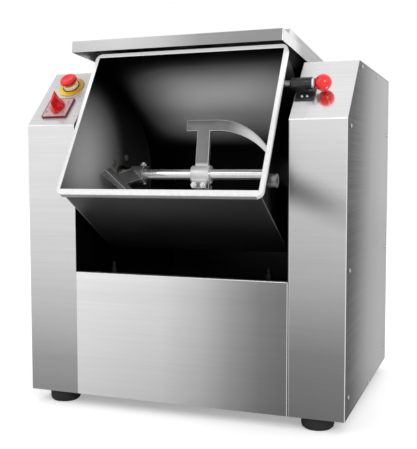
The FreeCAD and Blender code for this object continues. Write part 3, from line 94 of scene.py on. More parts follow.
# The switch's handle, its sections as (height, width, length), and its plate
HANDLE_WIDTH = 0.0175
HANDLE_LENGTH = 0.0245
HANDLE_POINT = 0.7
HANDLE_SECTIONS = [(0.005, 0.0175, 0.0245), (0.012, 0.0115, 0.0240), (0.022, 0.0060, 0.0235),
                   (0.032, 0.0026, 0.0228)]
HANDLE_TURN = math.radians(11.0)
HANDLE_GAP = 0.0003
HANDLE_ROUNDING = 0.0007
HANDLE_SHARP_TURN = 35.0
PLATE_BORDER_START = 0.0300

# The figures on the plate: (figure, across, up the slope)
SWITCH_FIGURES = [("0", -0.0245, -0.0145), ("1", 0.021, 0.016), ("2", 0.0195, -0.0165)]
FIGURE_SIZE = 0.009
FIGURE_DEPTH = 0.00015
FIGURE_GAP = 0.0001

# The sleeve over the lock pin's guide
SLEEVE_FROM_GUIDE = 0.001
SLEEVE_OVER_COLLAR = 0.0035
STEP_BEFORE_COLLAR = 0.001
SLEEVE_BORE = 0.0102
MOUTH_BORE = 0.0108
# (distance from the start, radius), then (distance from the end, radius)
SLEEVE_START = [(0.0, 0.0120), (0.0006, 0.0126), (0.0030, 0.0126), (0.0034, 0.0118),
                (0.0040, 0.0118), (0.0044, 0.0124), (0.0180, 0.0124), (0.0184, 0.0119),
                (0.0190, 0.0119), (0.0194, 0.0124)]
SLEEVE_END = [(0.004, 0.0124), (0.0034, 0.0128), (0.0006, 0.0128), (0.0, 0.0122)]

# The plate under the lock pin's guide
FOOT_FROM_FOLD = 0.0020
FOOT_END = 0.2925
FOOT_LENGTH = 0.046
FOOT_GAUGE = 0.003
FOOT_ROUNDING = 0.0008
FOOT_UP = -0.010
FOOT_SCREWS = (0.2655, 0.2765)
FOOT_SCREW_UP = -0.020
FOOT_SCREW_RADIUS = 0.0032
FOOT_SCREW_HEIGHT = 0.0016
FOOT_SCREW_TURN = 0.6

# A slotted head, as shares of its radius or height
HEAD_TAPER = 0.8
SLOT_HALF_WIDTH = 0.14
SLOT_DEPTH = 0.5
SMALL_SMOOTH_TURN = 40.0

# Finish of the surfaces
GRAIN = (3, 3, 260)
TOOL_RINGS = (700.0, 4, 4)
SKIN_DEPTH = 0.0002
COAT_ROUGHNESS = 0.08
PANEL_SLOT = "stainless_panel"
SHADED_SIDE = Vector((0.85, -0.30, -0.43))

# Painted light and shade of the sheet metal: greys along one axis, as (metres, grey), and the
# spans they lie in
HEIGHTS = (0.0, 0.8)
DEPTHS = (-0.30, 0.35)
SHELF_DEPTHS = (-0.25, 0.35)
WIDTHS = (-0.25, 0.25)
PLAIN_SHEET = [(0.03, 0.40), (0.45, 0.54), (0.77, 0.58)]
LEFT_FRONT = [(0.04, 0.31), (0.11, 0.36), (0.18, 0.48), (0.32, 0.66), (0.48, 0.79),
              (0.64, 0.82)]
RIGHT_FRONT = [(0.06, 0.19), (0.16, 0.215), (0.24, 0.32), (0.32, 0.43), (0.45, 0.55),
               (0.64, 0.74)]
LEFT_COVER = [(-0.25, 0.36), (-0.12, 0.44), (0.15, 0.56)]
RIGHT_COVER = [(-0.253, 0.04), (-0.22, 0.07), (-0.17, 0.14), (-0.09, 0.30), (0.02, 0.50),
               (0.19, 0.62)]
FRONT_PANEL = [(-0.23, 0.80), (-0.04, 0.69), (0.055, 0.53), (0.123, 0.35), (0.19, 0.225),
               (0.235, 0.19)]
REAR_PANEL = [(0.03, 0.42), (0.40, 0.56), (0.76, 0.62)]
LID_LIP = [(-0.22, 0.48), (-0.12, 0.54), (-0.03, 0.51), (0.06, 0.34), (0.15, 0.30),
           (0.24, 0.30)]
LID_SIDE = [(-0.24, 0.95), (-0.165, 0.90), (-0.10, 0.47), (0.10, 0.40)]
TOWER_TOP_GREY = 0.42
LEFT_SLOPE_GREY = 0.66
REAR_PANEL_SKIN = 0.3425
COVER_LEAN = 0.1

# The right tower: the painted shade of a band that sinks to the right and of the seam beside
# the front panel, the painted highlights along the folds, and the buffed part of the slope
BAND_HEIGHT = 0.607
BAND_REACH = 0.055
BAND_SINKS = 0.4
BAND_SHADE = 0.62
BAND_FADES = (0.27, 0.40)
SEAM_END = 0.2508
SEAM_SHADE = 0.85
HIGHLIGHT_WIDTH = 0.0015
HIGHLIGHT_FOLD_FROM = 0.3685
HIGHLIGHT_GREY = 0.85
BUFFED_FROM = 0.262
BUFFED_FULLY = 0.312
BUFFED_SMOOTHER = 0.20

# The trough's painted light and shade: the round patch on its end walls, the lit band on its
# upper wall, the greys of its front wall's inside, its back and its underside, and the glow of
# its front wall's inside
END_WALL = 0.22
PATCH_DEPTH = -0.225
PATCH_HEIGHT = 0.575
PATCH_REACH = 0.19
PATCH_GREY = 0.42
LIT_BAND_HEIGHT = 0.700
LIT_BAND_REACH = 0.10
LIT_BAND_GREY = 0.95
INNER_FRONT_GREY = 0.7
INNER_FRONT_GLOW = 0.32
OUTER_BACK_GREY = 0.3
UNDERSIDE_GREY = 0.08

# The stop button's ring darkens to a browner yellow, a painted shade, between two places along
# X and Z
RING_FADE = (0.380, 0.414)
RING_SPAN = (0.36, 0.44)
RING_SHADE_SHARES = (0.62, 0.45, 0.3)

# The studio's lamps: (name, place, target, size, power)
LAMPS = [
    ("key_lamp", (-1.6, -1.8, 2.2), (0, 0, 0.4), 1.6, 8.0),
    ("fill_lamp", (2.2, -1.2, 1.6), (0, 0, 0.4), 1.4, 3.0),
    ("mouth_lamp", (1.5, -2.0, 1.3), (0, 0, 0.6), 0.7, 18.0),
]
FLOOR_SIZE = 8.0
FLOOR_GLOW = 0.35
SENSOR_WIDTH = 36.0


# Sizes and colours that a user would change

class MixerSheetSettings(bpy.types.PropertyGroup):
    fold_radius: bpy.props.FloatProperty(
        name="Fold radius", description="Outer radius of the folded sheet edges",
        default=0.0016, min=0.0002, max=0.004, subtype="DISTANCE", unit="LENGTH")
    rim_radius: bpy.props.FloatProperty(
        name="Rim radius", description="Rounding of the trough's rim",
        default=0.0012, min=0.0002, max=0.003, subtype="DISTANCE", unit="LENGTH")
    grain_contrast: bpy.props.FloatProperty(
        name="Grain contrast", description="How strongly the brushed lines show",
        default=0.10, min=0.0, max=0.5, subtype="FACTOR")
    panel_roughness: bpy.props.FloatProperty(
        name="Panel roughness", description="Roughness of the brushed panels",
        default=0.34, min=0.05, max=0.9, subtype="FACTOR")
    # Painted shade: the dark grey that stands in for shade on the surfaces inside the machine
    painted_shade: bpy.props.FloatVectorProperty(
        name="Shaded steel", description="Colour of the surfaces inside the machine",
        default=(0.05, 0.05, 0.052), size=3, min=0.0, max=1.0, subtype="COLOR")


class MixerControlSettings(bpy.types.PropertyGroup):
    button_red: bpy.props.FloatVectorProperty(
        name="Red", description="Red of the stop button, the switch handle and the knob",
        default=(0.88, 0.006, 0.008), size=3, min=0.0, max=1.0, subtype="COLOR")
    ring_yellow: bpy.props.FloatVectorProperty(
        name="Yellow", description="Yellow of the ring under the stop button",
        default=(0.86, 0.62, 0.01), size=3, min=0.0, max=1.0, subtype="COLOR")
    collar_cream: bpy.props.FloatVectorProperty(
        name="Cream", description="Colour of the collar under the button's head",
        default=(0.82, 0.72, 0.42), size=3, min=0.0, max=1.0, subtype="COLOR")


class MixerStageSettings(bpy.types.PropertyGroup):
    camera_place: bpy.props.FloatVectorProperty(
        name="Camera place", description="Where the camera stands",
        default=(0.65815, -1.808975, 0.54672), size=3, subtype="TRANSLATION", unit="LENGTH")
    camera_heading: bpy.props.FloatProperty(
        name="Heading", description="Turn of the camera from straight ahead to the left",
        default=math.radians(20.4365), subtype="ANGLE", unit="ROTATION")
    camera_dip: bpy.props.FloatProperty(
        name="Dip", description="How far the camera looks down",
        default=math.radians(4.1006), subtype="ANGLE", unit="ROTATION")
    camera_roll: bpy.props.FloatProperty(
        name="Roll", description="Turn of the camera about its own line of sight",
        default=math.radians(-0.1064), subtype="ANGLE", unit="ROTATION")
    focal_length: bpy.props.FloatProperty(
        name="Focal length", description="Lens of the camera in millimetres",
        default=62.973, min=10.0, max=300.0)
    sky_level: bpy.props.FloatProperty(
        name="Sky level", description="Brightness of the studio's surroundings",
        default=0.93, min=0.0, max=2.0)


# Shader nodes

class Wire:
    """One socket in a node tree, so that shader maths reads as Python."""

    def __init__(self, nodes, socket):
        self.nodes = nodes
        self.socket = socket

    def maths(self, operation, *others):
        return self.nodes.node("Math", {"operation": operation}, self, *others)

    def __add__(self, other):
        return self.maths("ADD", other)

    def __radd__(self, other):
        return self.maths("ADD", other)

    def __sub__(self, other):
        return self.maths("SUBTRACT", other)

    def __rsub__(self, other):
        return self.nodes.node("Math", {"operation": "SUBTRACT"}, other, self)

    def __mul__(self, other):
        return self.maths("MULTIPLY", other)

    def __rmul__(self, other):
        return self.maths("MULTIPLY", other)

    def __truediv__(self, other):
        return self.maths("DIVIDE", other)

    def __gt__(self, other):
        return self.maths("GREATER_THAN", other)

    def __lt__(self, other):
        return self.maths("LESS_THAN", other)

    def absolute(self):
        return self.maths("ABSOLUTE")

    def clamped(self):
        return self.nodes.node("Clamp", {}, self, 0.0, 1.0)

    def hill(self, middle, reach):
        """1 at the middle, falling smoothly to 0 at the reach on both sides."""
        near = (1 - (self - middle).absolute() / reach).clamped()
        return near * near * (3 - near * 2)

    def rise(self, low, high):
        """0 below low, 1 above high, smooth between."""
        along = ((self - low) / (high - low)).clamped()
        return along * along * (3 - along * 2)


class Nodes:
    """The node tree of a material or a world."""

    def __init__(self, owner, output):
        owner.use_nodes = True
        self.tree = owner.node_tree
        self.tree.nodes.clear()
        self.output = self.tree.nodes.new("ShaderNode" + output)

    def node(self, kind, settings, *inputs, out=0, **named):
        """Adds a node, sets it up, then feeds its sockets in order or by name."""
        made = self.tree.nodes.new("ShaderNode" + kind)
        for setting, value in settings.items():
            if setting == "stops":
                self.set_stops(made.color_ramp, value)
            else:
                setattr(made, setting, value)
        for number, value in enumerate(inputs):
            self.feed(made.inputs[number], value)
        self.feed_named(made, named)
        return Wire(self, made.outputs[out])

    def feed_named(self, made, named):
        for socket, value in named.items():
            self.feed(made.inputs[socket.replace("_", " ")], value)

    def feed(self, socket, value):
        if isinstance(value, Wire):
            self.tree.links.new(value.socket, socket)
        elif socket.type == "RGBA":
            socket.default_value = full_colour(value)
        else:
            socket.default_value = value

    def set_stops(self, ramp, stops):
        while len(ramp.elements) > 1:
            ramp.elements.remove(ramp.elements[-1])
        ramp.elements[0].position = stops[0][0]
        for place, _ in stops[1:]:
            ramp.elements.new(place)
        for element, (_, colour) in zip(ramp.elements, stops):
            element.color = full_colour(colour)

    def show(self, surface):
        """Links a shader to the output."""
        self.feed(self.output.inputs["Surface"], surface)


class Paint(Nodes):
    """A procedural material on object coordinates."""

    def __init__(self, name):
        self.material = bpy.data.materials.new(name)
        super().__init__(self.material, "OutputMaterial")
        self.shader = self.node("BsdfPrincipled", {})
        self.show(self.shader)
        self.place = self.node("TexCoord", {}, out="Object")
        self.facing = self.node("TexCoord", {}, out="Normal")

    def set(self, **sockets):
        self.feed_named(self.shader.socket.node, sockets)
        return self.material

    def axis(self, letter):
        return self.node("SeparateXYZ", {}, self.place, out=letter)

    def dot(self, vector, direction):
        return self.node("VectorMath", {"operation": "DOT_PRODUCT"}, vector,
                         Vector(direction), out="Value")

    def toward(self, direction):
        """1 where the surface faces a direction within about 14 degrees."""
        return self.dot(self.facing, direction) > 0.97

    def along(self, direction, start):
        """How far the surface lies from a start, along a direction."""
        return self.dot(self.place, direction) - start.dot(direction)

    def from_line(self, depth, height):
        """Distance from a line that runs across the machine."""
        flat = self.node("VectorMath", {"operation": "MULTIPLY"}, self.place,
                         Vector((0, 1, 1)))
        return self.node("VectorMath", {"operation": "DISTANCE"}, flat,
                         Vector((0, depth, height)), out="Value")

    def noise(self, scale, detail, roughness, stretch=(1, 1, 1)):
        moved = self.node("Mapping", {}, self.place, Scale=Vector(stretch))
        return self.node("TexNoise", {}, Vector=moved, Scale=scale, Detail=detail,
                         Roughness=roughness)

    def ramp(self, value, stops, low=0.0, high=1.0):
        """A colour along a value, with the stops given in the value's own unit."""
        span = high - low
        shifted = (value - low) / span if (low, high) != (0.0, 1.0) else value
        placed = [((at - low) / span, colour) for at, colour in stops]
        return self.node("ValToRGB", {"stops": placed}, shifted)

    def mix(self, amount, first, second):
        """The first colour where the amount is 0, the second where it is 1."""
        mixed = self.node("Mix", {"data_type": "RGBA"}, amount, out=2)
        self.feed(mixed.socket.node.inputs[6], first)
        self.feed(mixed.socket.node.inputs[7], second)
        return mixed

    def scaled(self, colour, factor):
        return self.node("VectorMath", {"operation": "SCALE"}, colour, Scale=factor)

    def grey(self, level):
        return self.node("CombineColor", {}, level, level, level)

    def bump(self, height, strength, distance=SKIN_DEPTH):
        return self.node("Bump", {}, Strength=strength, Distance=distance, Height=height)


def full_colour(value):
    """A grey level or a colour, with an alpha of 1."""
    if not hasattr(value, "__len__"):
        value = (value, value, value)
    return (*value[:3], 1.0)


# Materials

def brushed_steel(name, tones, roughness=None, slope_metal=1.0, slope_roughness=None,
                  edge_tint=1.0):
    """Sheet brushed in fine level lines.

    tones(paint) gives the painted light and shade of the clean sheet before the grain is laid
    over it.
    slope_metal and slope_roughness are for a tower, whose slope and top are duller.
    """
    sheet = bpy.context.scene.mixer_sheet
    rough = sheet.panel_roughness if roughness is None else roughness
    paint = Paint(name)
    fine = paint.noise(1.0, 3.0, 0.6, GRAIN)
    coarse = paint.noise(1.0, 2.0, 0.5, tuple(value / 4 for value in GRAIN))
    smudge = paint.noise(5.0, 3.0, 0.5)
    lines = fine * 0.65 + coarse * 0.35
    shade = 1 + (lines - 0.5) * (2 * sheet.grain_contrast)
    metal = 1.0
    if slope_metal < 1.0:
        slope = paint.toward(SLOPE_OUT)
        buffed = slope * paint.axis("X").rise(BUFFED_FROM, BUFFED_FULLY)
        top = paint.toward(UP)
        metal = 1 - (slope - buffed) * (1 - slope_metal) - top * 0.75
        rough = (slope * (slope_roughness - rough) + top * 0.25 + rough
                 - buffed * BUFFED_SMOOTHER)
    return paint.set(
        Base_Color=paint.scaled(tones(paint), shade), Metallic=metal,
        Specular_Tint=edge_tint,
        Roughness=(lines - 0.5) * 0.25 + (smudge - 0.5) * 0.12 + rough,
        Normal=paint.bump(lines, 0.12))


def fold_highlight(name):
    """Painted highlight: a bright line along a fold."""
    paint = Paint(name)
    fine = paint.noise(90.0, 3.0, 0.6)
    return paint.set(Base_Color=paint.ramp(fine, [(0.3, 0.82), (0.7, 0.95)]), Metallic=0.3,
                     Roughness=(fine - 0.5) * 0.2 + 0.35, Normal=paint.bump(fine, 0.05))


def moulded(name, colour, roughness=0.3, coat=0.0, speckle=0.06, shade=0.0):
    """Moulded plastic, rubber or paint, with slight mottling and a fine skin.

    shade darkens the faces that look to the right, away from the key lamp.
    """
    paint = Paint(name)
    patches = paint.noise(60.0, 3.0, 0.6)
    skin = paint.noise(900.0, 2.0, 0.5)
    darker = tuple(part * (1 - speckle * 2) for part in colour)
    lighter = tuple(min(1.0, part * (1 + speckle) + 0.002) for part in colour)
    tone = paint.ramp(patches, [(0.3, darker), (0.7, lighter)])
    if shade:
        aside = paint.dot(paint.facing, SHADED_SIDE)
        tone = paint.scaled(tone, 1 - aside.rise(-0.1, 0.8) * shade)
    return paint.set(
        Base_Color=tone,
        Roughness=(patches - 0.5) * 0.15 + (skin - 0.5) * 0.1 + roughness,
        Coat_Weight=coat, Coat_Roughness=COAT_ROUGHNESS, Normal=paint.bump(skin, 0.08))


def turned_metal(name, colour, roughness=0.25, metallic=1.0):
    """Lathe-turned or polished metal with faint tool rings along X."""
    paint = Paint(name)
    rings = paint.noise(1.0, 2.0, 0.6, TOOL_RINGS)
    patches = paint.noise(25.0, 3.0, 0.5)
    darker = tuple(part * 0.86 for part in colour)
    return paint.set(
        Base_Color=paint.ramp(rings * 0.6 + patches * 0.4, [(0.35, darker), (0.65, colour)]),
        Metallic=metallic,
        Roughness=(rings - 0.5) * 0.14 + (patches - 0.5) * 0.1 + roughness,
        Normal=paint.bump(rings, 0.1))


def satin_trough(name):
    """Satin sheet, painted near black as shade but for the painted light where the studio
    lights it.

    Painted light falls on a round patch on the end walls, a band on the upper wall, the inside
    of the front wall, which also glows a little, and, more dimly, the back and the underside.
    """
    paint = Paint(name)
    haze = paint.noise(9.0, 2.0, 0.5)
    fine = paint.noise(400.0, 2.0, 0.5)
    across, depth, height = (paint.axis(letter) for letter in "XYZ")
    end_walls = across.absolute().hill(END_WALL, 0.0015)
    patch = paint.from_line(PATCH_DEPTH, PATCH_HEIGHT).hill(0.0, PATCH_REACH) * PATCH_GREY
    patch = (patch + height.hill(0.50, 0.26) * 0.05) * end_walls
    faces_mouth = paint.dot(paint.facing, INTO_MOUTH) > 0.1
    band = (faces_mouth * height.hill(LIT_BAND_HEIGHT, LIT_BAND_REACH)
            * across.rise(-0.23, -0.02) * depth.rise(-0.22, -0.08)
            * (across < END_WALL - 0.0005) * LIT_BAND_GREY)
    faces_back = paint.dot(paint.facing, BACK).rise(0.1, 0.5)
    above = paint.along(-INTO_MOUTH, middle("mixing_shaft"))
    behind = (depth.rise(-0.05, 0.05) + above.rise(0.0, 0.05)).clamped()
    # Painted light: the inside of the front wall glows, though it is no lamp
    glow = paint.grey(faces_back * (1 - behind) * INNER_FRONT_GLOW)
    walls = faces_back * (INNER_FRONT_GREY - behind * (INNER_FRONT_GREY - OUTER_BACK_GREY))
    underside = faces_mouth * (height < 0.5) * (depth < -0.05) * UNDERSIDE_GREY
    lit = patch + band + walls
    return paint.set(
        Base_Color=paint.grey(lit + underside + haze * 0.006 + 0.002),
        Metallic=1 - (lit * 10).clamped() * 0.8,
        Roughness=(haze - 0.5) * 0.1 + (fine - 0.5) * 0.05 + 0.42,
        Emission_Color=glow, Emission_Strength=1.0, Normal=paint.bump(fine, 0.03, 0.0001))


def bright_rim(name):
    """Ground and lightly polished edge that glows a little toward its top, a painted light,
    with painted shade on its faces under the rim.
    """
    paint = Paint(name)
    fine = paint.noise(120.0, 3.0, 0.6)
    colour = paint.ramp(fine, [(0.3, 0.66), (0.7, 0.74)])
    glow = paint.axis("Z").rise(0.62, 0.80) * 0.45
    return paint.set(Base_Color=paint.scaled(colour, 1 - paint.toward(UNDER_RIM) * 0.6),
                     Metallic=0.2, Roughness=(fine - 0.5) * 0.1 + 0.35,
                     Emission_Color=paint.grey(glow), Emission_Strength=1.0,
                     Normal=paint.bump(fine, 0.05))


def paddle_steel(name):
    """Ground steel: bright clamp hubs, and blades with painted light and shade, darker to the
    left and lightening to the right.
    """
    paint = Paint(name)
    shaft = middle("mixing_shaft")
    patches = paint.noise(25.0, 3.0, 0.5)
    fine = paint.noise(300.0, 2.0, 0.6)
    across = paint.axis("X")
    hub = (1 - paint.from_line(shaft.y, shaft.z).rise(0.020, 0.030)) * across.rise(-0.16, -0.06)
    level = (across.rise(0.05, 0.13) * 0.72 + across.rise(-0.12, -0.05) * 0.08 + hub * 0.60
             + (patches - 0.5) * 0.08 + 0.12)
    return paint.set(Base_Color=paint.grey(level), Metallic=0.4,
                     Roughness=(patches - 0.5) * 0.1 + (fine - 0.5) * 0.1 + 0.34,
                     Normal=paint.bump(fine, 0.06))


def yellow_plastic(name, colour):
    """Bright to the left, and a darker, browner yellow to the right: painted shade."""
    paint = Paint(name)
    patches = paint.noise(60.0, 3.0, 0.6)
    shaded_yellow = tuple(part * share for part, share in zip(colour, RING_SHADE_SHARES))
    ring_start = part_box("estop_ring")[0][0]
    along = (paint.axis("X") + paint.axis("Z") * 0.5 + (patches - 0.5) * 0.004) - ring_start
    tone = paint.ramp(along, list(zip(RING_FADE, (colour, shaded_yellow))), *RING_SPAN)
    return paint.set(Base_Color=tone, Roughness=(patches - 0.5) * 0.15 + 0.3,
                     Coat_Weight=0.1, Coat_Roughness=COAT_ROUGHNESS,
                     Normal=paint.bump(patches, 0.05))


def switch_plate_finish():
    """Silver-pink face inside a dark red border."""
    paint = Paint("switch_plate_enamel")
    base = face_of("switch_plate")
    mottle = paint.noise(120.0, 2.0, 0.5)
    silver = paint.ramp(mottle, [(0.3, (0.46, 0.33, 0.34)), (0.7, (0.60, 0.45, 0.46))])
    across = paint.along(RIGHT, base).absolute()
    up = paint.along(SLOPE_UP, base).absolute()
    face = paint.toward(SLOPE_OUT) * (across.maths("MAXIMUM", up) < PLATE_BORDER_START)
    return paint.set(Base_Color=paint.mix(face, (0.15, 0.006, 0.010), silver),
                     Metallic=face * 0.3, Roughness=(mottle - 0.5) * 0.1 + 0.3)


# Painted light and shade of the sheet metal: its greys, dark to light as the studio lights it

def shaded_steel(share=1.0):
    """Painted shade: the dark grey of the surfaces inside the machine."""
    return tuple(part * share for part in bpy.context.scene.mixer_sheet.painted_shade)


def tower_sides(paint, front, slope, inward):
    """Painted light and shade: front and slope in their own greys, plain greys for the top and
    back, and painted shade on the inner side.
    """
    plain = paint.ramp(paint.axis("Z"), PLAIN_SHEET, *HEIGHTS)
    colour = paint.mix(paint.toward(FRONT), plain, front)
    colour = paint.mix(paint.toward(UP), colour, TOWER_TOP_GREY)
    colour = paint.mix(paint.toward(SLOPE_OUT), colour, slope)
    return paint.mix(paint.toward(RIGHT * inward), colour, shaded_steel())


def left_tower_tones(paint):
    front = paint.ramp(paint.axis("Z"), LEFT_FRONT, *HEIGHTS)
    return tower_sides(paint, front, LEFT_SLOPE_GREY, 1)


def right_tower_tones(paint):
    """Painted shade of the band and the seam, and painted highlights along the folds."""
    across, height = paint.axis("X"), paint.axis("Z")
    band = (height + across * BAND_SINKS).hill(BAND_HEIGHT, BAND_REACH)
    fading = 1 - across.rise(*BAND_FADES) * 0.75
    shade = (1 - band * fading * BAND_SHADE) * (1 - (across < SEAM_END) * SEAM_SHADE)
    front = paint.scaled(paint.ramp(height, RIGHT_FRONT, *HEIGHTS), shade)
    # Painted highlights: the right-hand fold, and a fainter line beside the seam
    edge_highlight = (across > HIGHLIGHT_FOLD_FROM) + (across > SEAM_END) * (across < SEAM_END + HIGHLIGHT_WIDTH) * 0.4
    slope = paint.ramp(across, [(BUFFED_FROM, 0.70), (BUFFED_FULLY, 0.86)], 0.2, 0.4)
    return tower_sides(paint, paint.mix(edge_highlight, front, HIGHLIGHT_GREY), slope, -1)


def cover_tones(stops):
    """Painted light and shade of a side cover, from front to back, leaning with the light."""
    def tones(paint):
        return paint.ramp(paint.axis("Y") - paint.axis("Z") * COVER_LEAN, stops, *DEPTHS)
    return tones


def front_panel_tones(paint):
    """Painted light and shade: dark to the right and brighter at the top, with a painted
    highlight along the right-hand end.
    """
    across, height = paint.axis("X"), paint.axis("Z")
    brighter = height.rise(0.05, 0.30) * 0.16 + height.rise(0.27, 0.31) * 0.1 + 0.88
    level = paint.scaled(paint.ramp(across, FRONT_PANEL, *WIDTHS), brighter)
    panel_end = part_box("front_panel")[1][0]
    return paint.mix((across > panel_end - HIGHLIGHT_WIDTH) * 0.9, level, HIGHLIGHT_GREY)


def rear_panel_tones(paint):
    # Painted light outside, darker toward the bottom, and painted shade inside
    outside = paint.ramp(paint.axis("Z"), REAR_PANEL, *HEIGHTS)
    return paint.mix(paint.axis("Y") > REAR_PANEL_SKIN, shaded_steel(), outside)


def shelf_tones(paint):
    # Painted shade: the shelf in the dark grey of the shaded steel, lighter at its front and
    # darker at its back
    stops = [(-0.24, shaded_steel(1.6)), (0.0, shaded_steel()), (0.34, shaded_steel(0.5))]
    return paint.ramp(paint.axis("Y"), stops, *SHELF_DEPTHS)


def lid_tones(paint):
    """Painted light and shade: lip and right side in their own greys, and a darker right slope.
    """
    lip = paint.ramp(paint.axis("X"), LID_LIP, *WIDTHS)
    side = paint.ramp(paint.axis("Y"), LID_SIDE, *DEPTHS)
    crown = paint.mix(paint.dot(paint.facing, (0.7, 0, 0.7)) > 0.8, 0.52, 0.72)
    colour = paint.mix(paint.toward((0, -1, 0.08)), crown, lip)
    return paint.mix(paint.toward(RIGHT), colour, side)


# Shapes

def new_object(name, form, material):
    mesh = bpy.data.meshes.new(name)
    form.to_mesh(mesh)
    form.free()
    mesh.materials.append(material)
    made = bpy.data.objects.new(name, mesh)
    bpy.context.scene.collection.objects.link(made)
    return made


def new_piece(name, body, form, material, *replaced, slot=None, smooth=None):
    """Turns a bmesh into a piece that rides on a body."""
    piece = new_object(name, form, material)
    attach(piece, body)
    if replaced:
        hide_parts(*replaced)
    if smooth:
        smooth_by_turn(piece, smooth)
    return piece


def merged_copy(node):
    """A node's mesh with its loose triangles sewn together."""
    form = bmesh.new()
    form.from_mesh(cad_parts[node].data)
    bmesh.ops.remove_doubles(form, verts=form.verts, dist=1e-6)
    return form


def is_sharp(edge, least_turn):
    return len(edge.link_faces) == 2 and edge.calc_face_angle(0.0) > math.radians(least_turn)


def is_fold(edge, least_turn):
    """True for a long outward fold between two wide faces, not for a sheet's thin rim."""
    length = edge.calc_length()
    return (is_sharp(edge, least_turn) and edge.is_convex and length > SHORTEST_FOLD
            and all(2 * face.calc_area() / length > NARROWEST_FACE
                    for face in edge.link_faces))


def rounded(form, edges, radius, segments=2):
    """Rounds edges and returns the new faces."""
    made = bmesh.ops.bevel(form, geom=edges, offset=radius, segments=segments, profile=0.5,
                           affect="EDGES", clamp_overlap=True, material=-1)
    return made["faces"]


def finished_copy(node, body, material, radius=0.0, folds=False, least_turn=SHARP_TURN,
                  slot=None, edge_highlight=None):
    """Stands in for a node, with its folds or all its sharp edges rounded.

    The last argument is the material of the rounding: a painted highlight, where an edge is
    brighter than its faces. Beside rounded folds the sheet's own faces stay level in shading.
    """
    form = merged_copy(node)
    chosen = is_fold if folds else is_sharp
    edges = [edge for edge in form.edges if chosen(edge, least_turn)] if radius else []
    level = []
    if edges:
        faces = rounded(form, edges, radius, 3 if folds else 2)
        if edge_highlight:
            for face in faces:
                face.material_index = 1
        if folds:
            form.faces.index_update()
            level = sorted({face.index for face in form.faces}
                           - {face.index for face in faces})
    piece = new_piece(node + "_finished", body, form, material, node, slot=slot)
    if edge_highlight:
        piece.data.materials.append(edge_highlight)
    smooth_by_turn(piece, SHARP_TURN)
    for index in level:
        piece.data.polygons[index].use_smooth = False
    return piece


def smooth_by_turn(piece, degrees):
    """Smooth faces, kept sharp where they meet at more than an angle."""
    mesh = piece.data
    mesh.shade_smooth()
    form = bmesh.new()
    form.from_mesh(mesh)
    for edge in form.edges:
        if len(edge.link_faces) == 2:
            edge.smooth = edge.calc_face_angle(0.0) < math.radians(degrees)
    form.to_mesh(mesh)
    form.free()


def turned_form(profile, segments=48):
    """A closed profile of (height, radius) pairs, turned round the Z axis."""
    form = bmesh.new()
    spots = [form.verts.new((radius, 0, height)) for height, radius in profile]
    edges = [form.edges.new(pair) for pair in zip(spots, spots[1:] + spots[:1])]
    bmesh.ops.spin(form, geom=spots + edges, cent=(0, 0, 0), axis=(0, 0, 1),
                   angle=2 * math.pi, steps=segments, use_merge=True)
    bmesh.ops.recalc_face_normals(form, faces=form.faces)
    return form


def place_form(form, turn, place):
    """Turns a whole bmesh about the origin, then moves it."""
    bmesh.ops.rotate(form, verts=form.verts, cent=(0, 0, 0), matrix=turn)
    bmesh.ops.translate(form, verts=form.verts, vec=place)
    return form


def only(kind, made):
    """The items of one kind that an extrusion made."""
    return [item for item in made["geom"] if isinstance(item, kind)]


def middle(node):
    low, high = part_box(node)
    return (Vector(low) + Vector(high)) / 2


def outermost(node):
    """How far a node reaches out of the slope."""
    return max(vert.co.dot(SLOPE_OUT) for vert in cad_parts[node].data.vertices)


def face_of(node):
    """Middle of a node's face that looks out of the slope."""
    centre = middle(node)
    return centre + SLOPE_OUT * (outermost(node) - centre.dot(SLOPE_OUT))


def finish_nodes(material, *nodes):
    for node in nodes:
        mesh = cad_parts[node].data
        mesh.materials.clear()
        mesh.materials.append(material)


# Operators, one for each piece or group of like pieces

class MIXER_OT_towers(bpy.types.Operator):
    """Both towers with their covers, folds rounded and brushed"""
    bl_idname = "mixer.towers"
    bl_label = "Towers"

    def execute(self, context):
        radius = context.scene.mixer_sheet.fold_radius
        left = brushed_steel("left_tower_steel", left_tower_tones, slope_metal=0.5,
                             slope_roughness=0.3, edge_tint=0.6)
        right = brushed_steel("right_tower_steel", right_tower_tones, slope_metal=0.3,
                              slope_roughness=0.36, edge_tint=0.6)
        left_cover = brushed_steel("left_cover_steel", cover_tones(LEFT_COVER))
        right_cover = brushed_steel("right_cover_steel", cover_tones(RIGHT_COVER),
                                    edge_tint=0.7)
        # Painted highlight along the right tower's folds
        fold = fold_highlight("tower_fold_highlight")
        finished_copy("left_tower_housing", "machine", left, radius, True, slot=PANEL_SLOT)
        finished_copy("right_tower_housing", "machine", right, radius, True,
                      slot=PANEL_SLOT, edge_highlight=fold)
        finished_copy("left_side_cover", "machine", left_cover, slot=PANEL_SLOT)
        finished_copy("right_side_cover", "machine", right_cover, slot=PANEL_SLOT)
        return {"FINISHED"}


class MIXER_OT_panels(bpy.types.Operator):
    """Front panel, rear panel and shelf between the towers"""
    bl_idname = "mixer.panels"
    bl_label = "Panels"

    def execute(self, context):
        radius = context.scene.mixer_sheet.fold_radius
        front = brushed_steel("front_panel_steel", front_panel_tones)
        rear = brushed_steel("rear_panel_steel", rear_panel_tones)
        shelf = brushed_steel("shelf_steel", shelf_tones, roughness=0.22)
        # Painted highlight along the front panel's folds
        finished_copy("front_panel", "machine", front, radius, True, slot=PANEL_SLOT,
                      edge_highlight=fold_highlight("panel_fold_highlight"))
        finished_copy("rear_panel", "machine", rear, slot=PANEL_SLOT)
        finished_copy("shelf_plate", "machine", shelf, radius, True, slot=PANEL_SLOT)
        return {"FINISHED"}


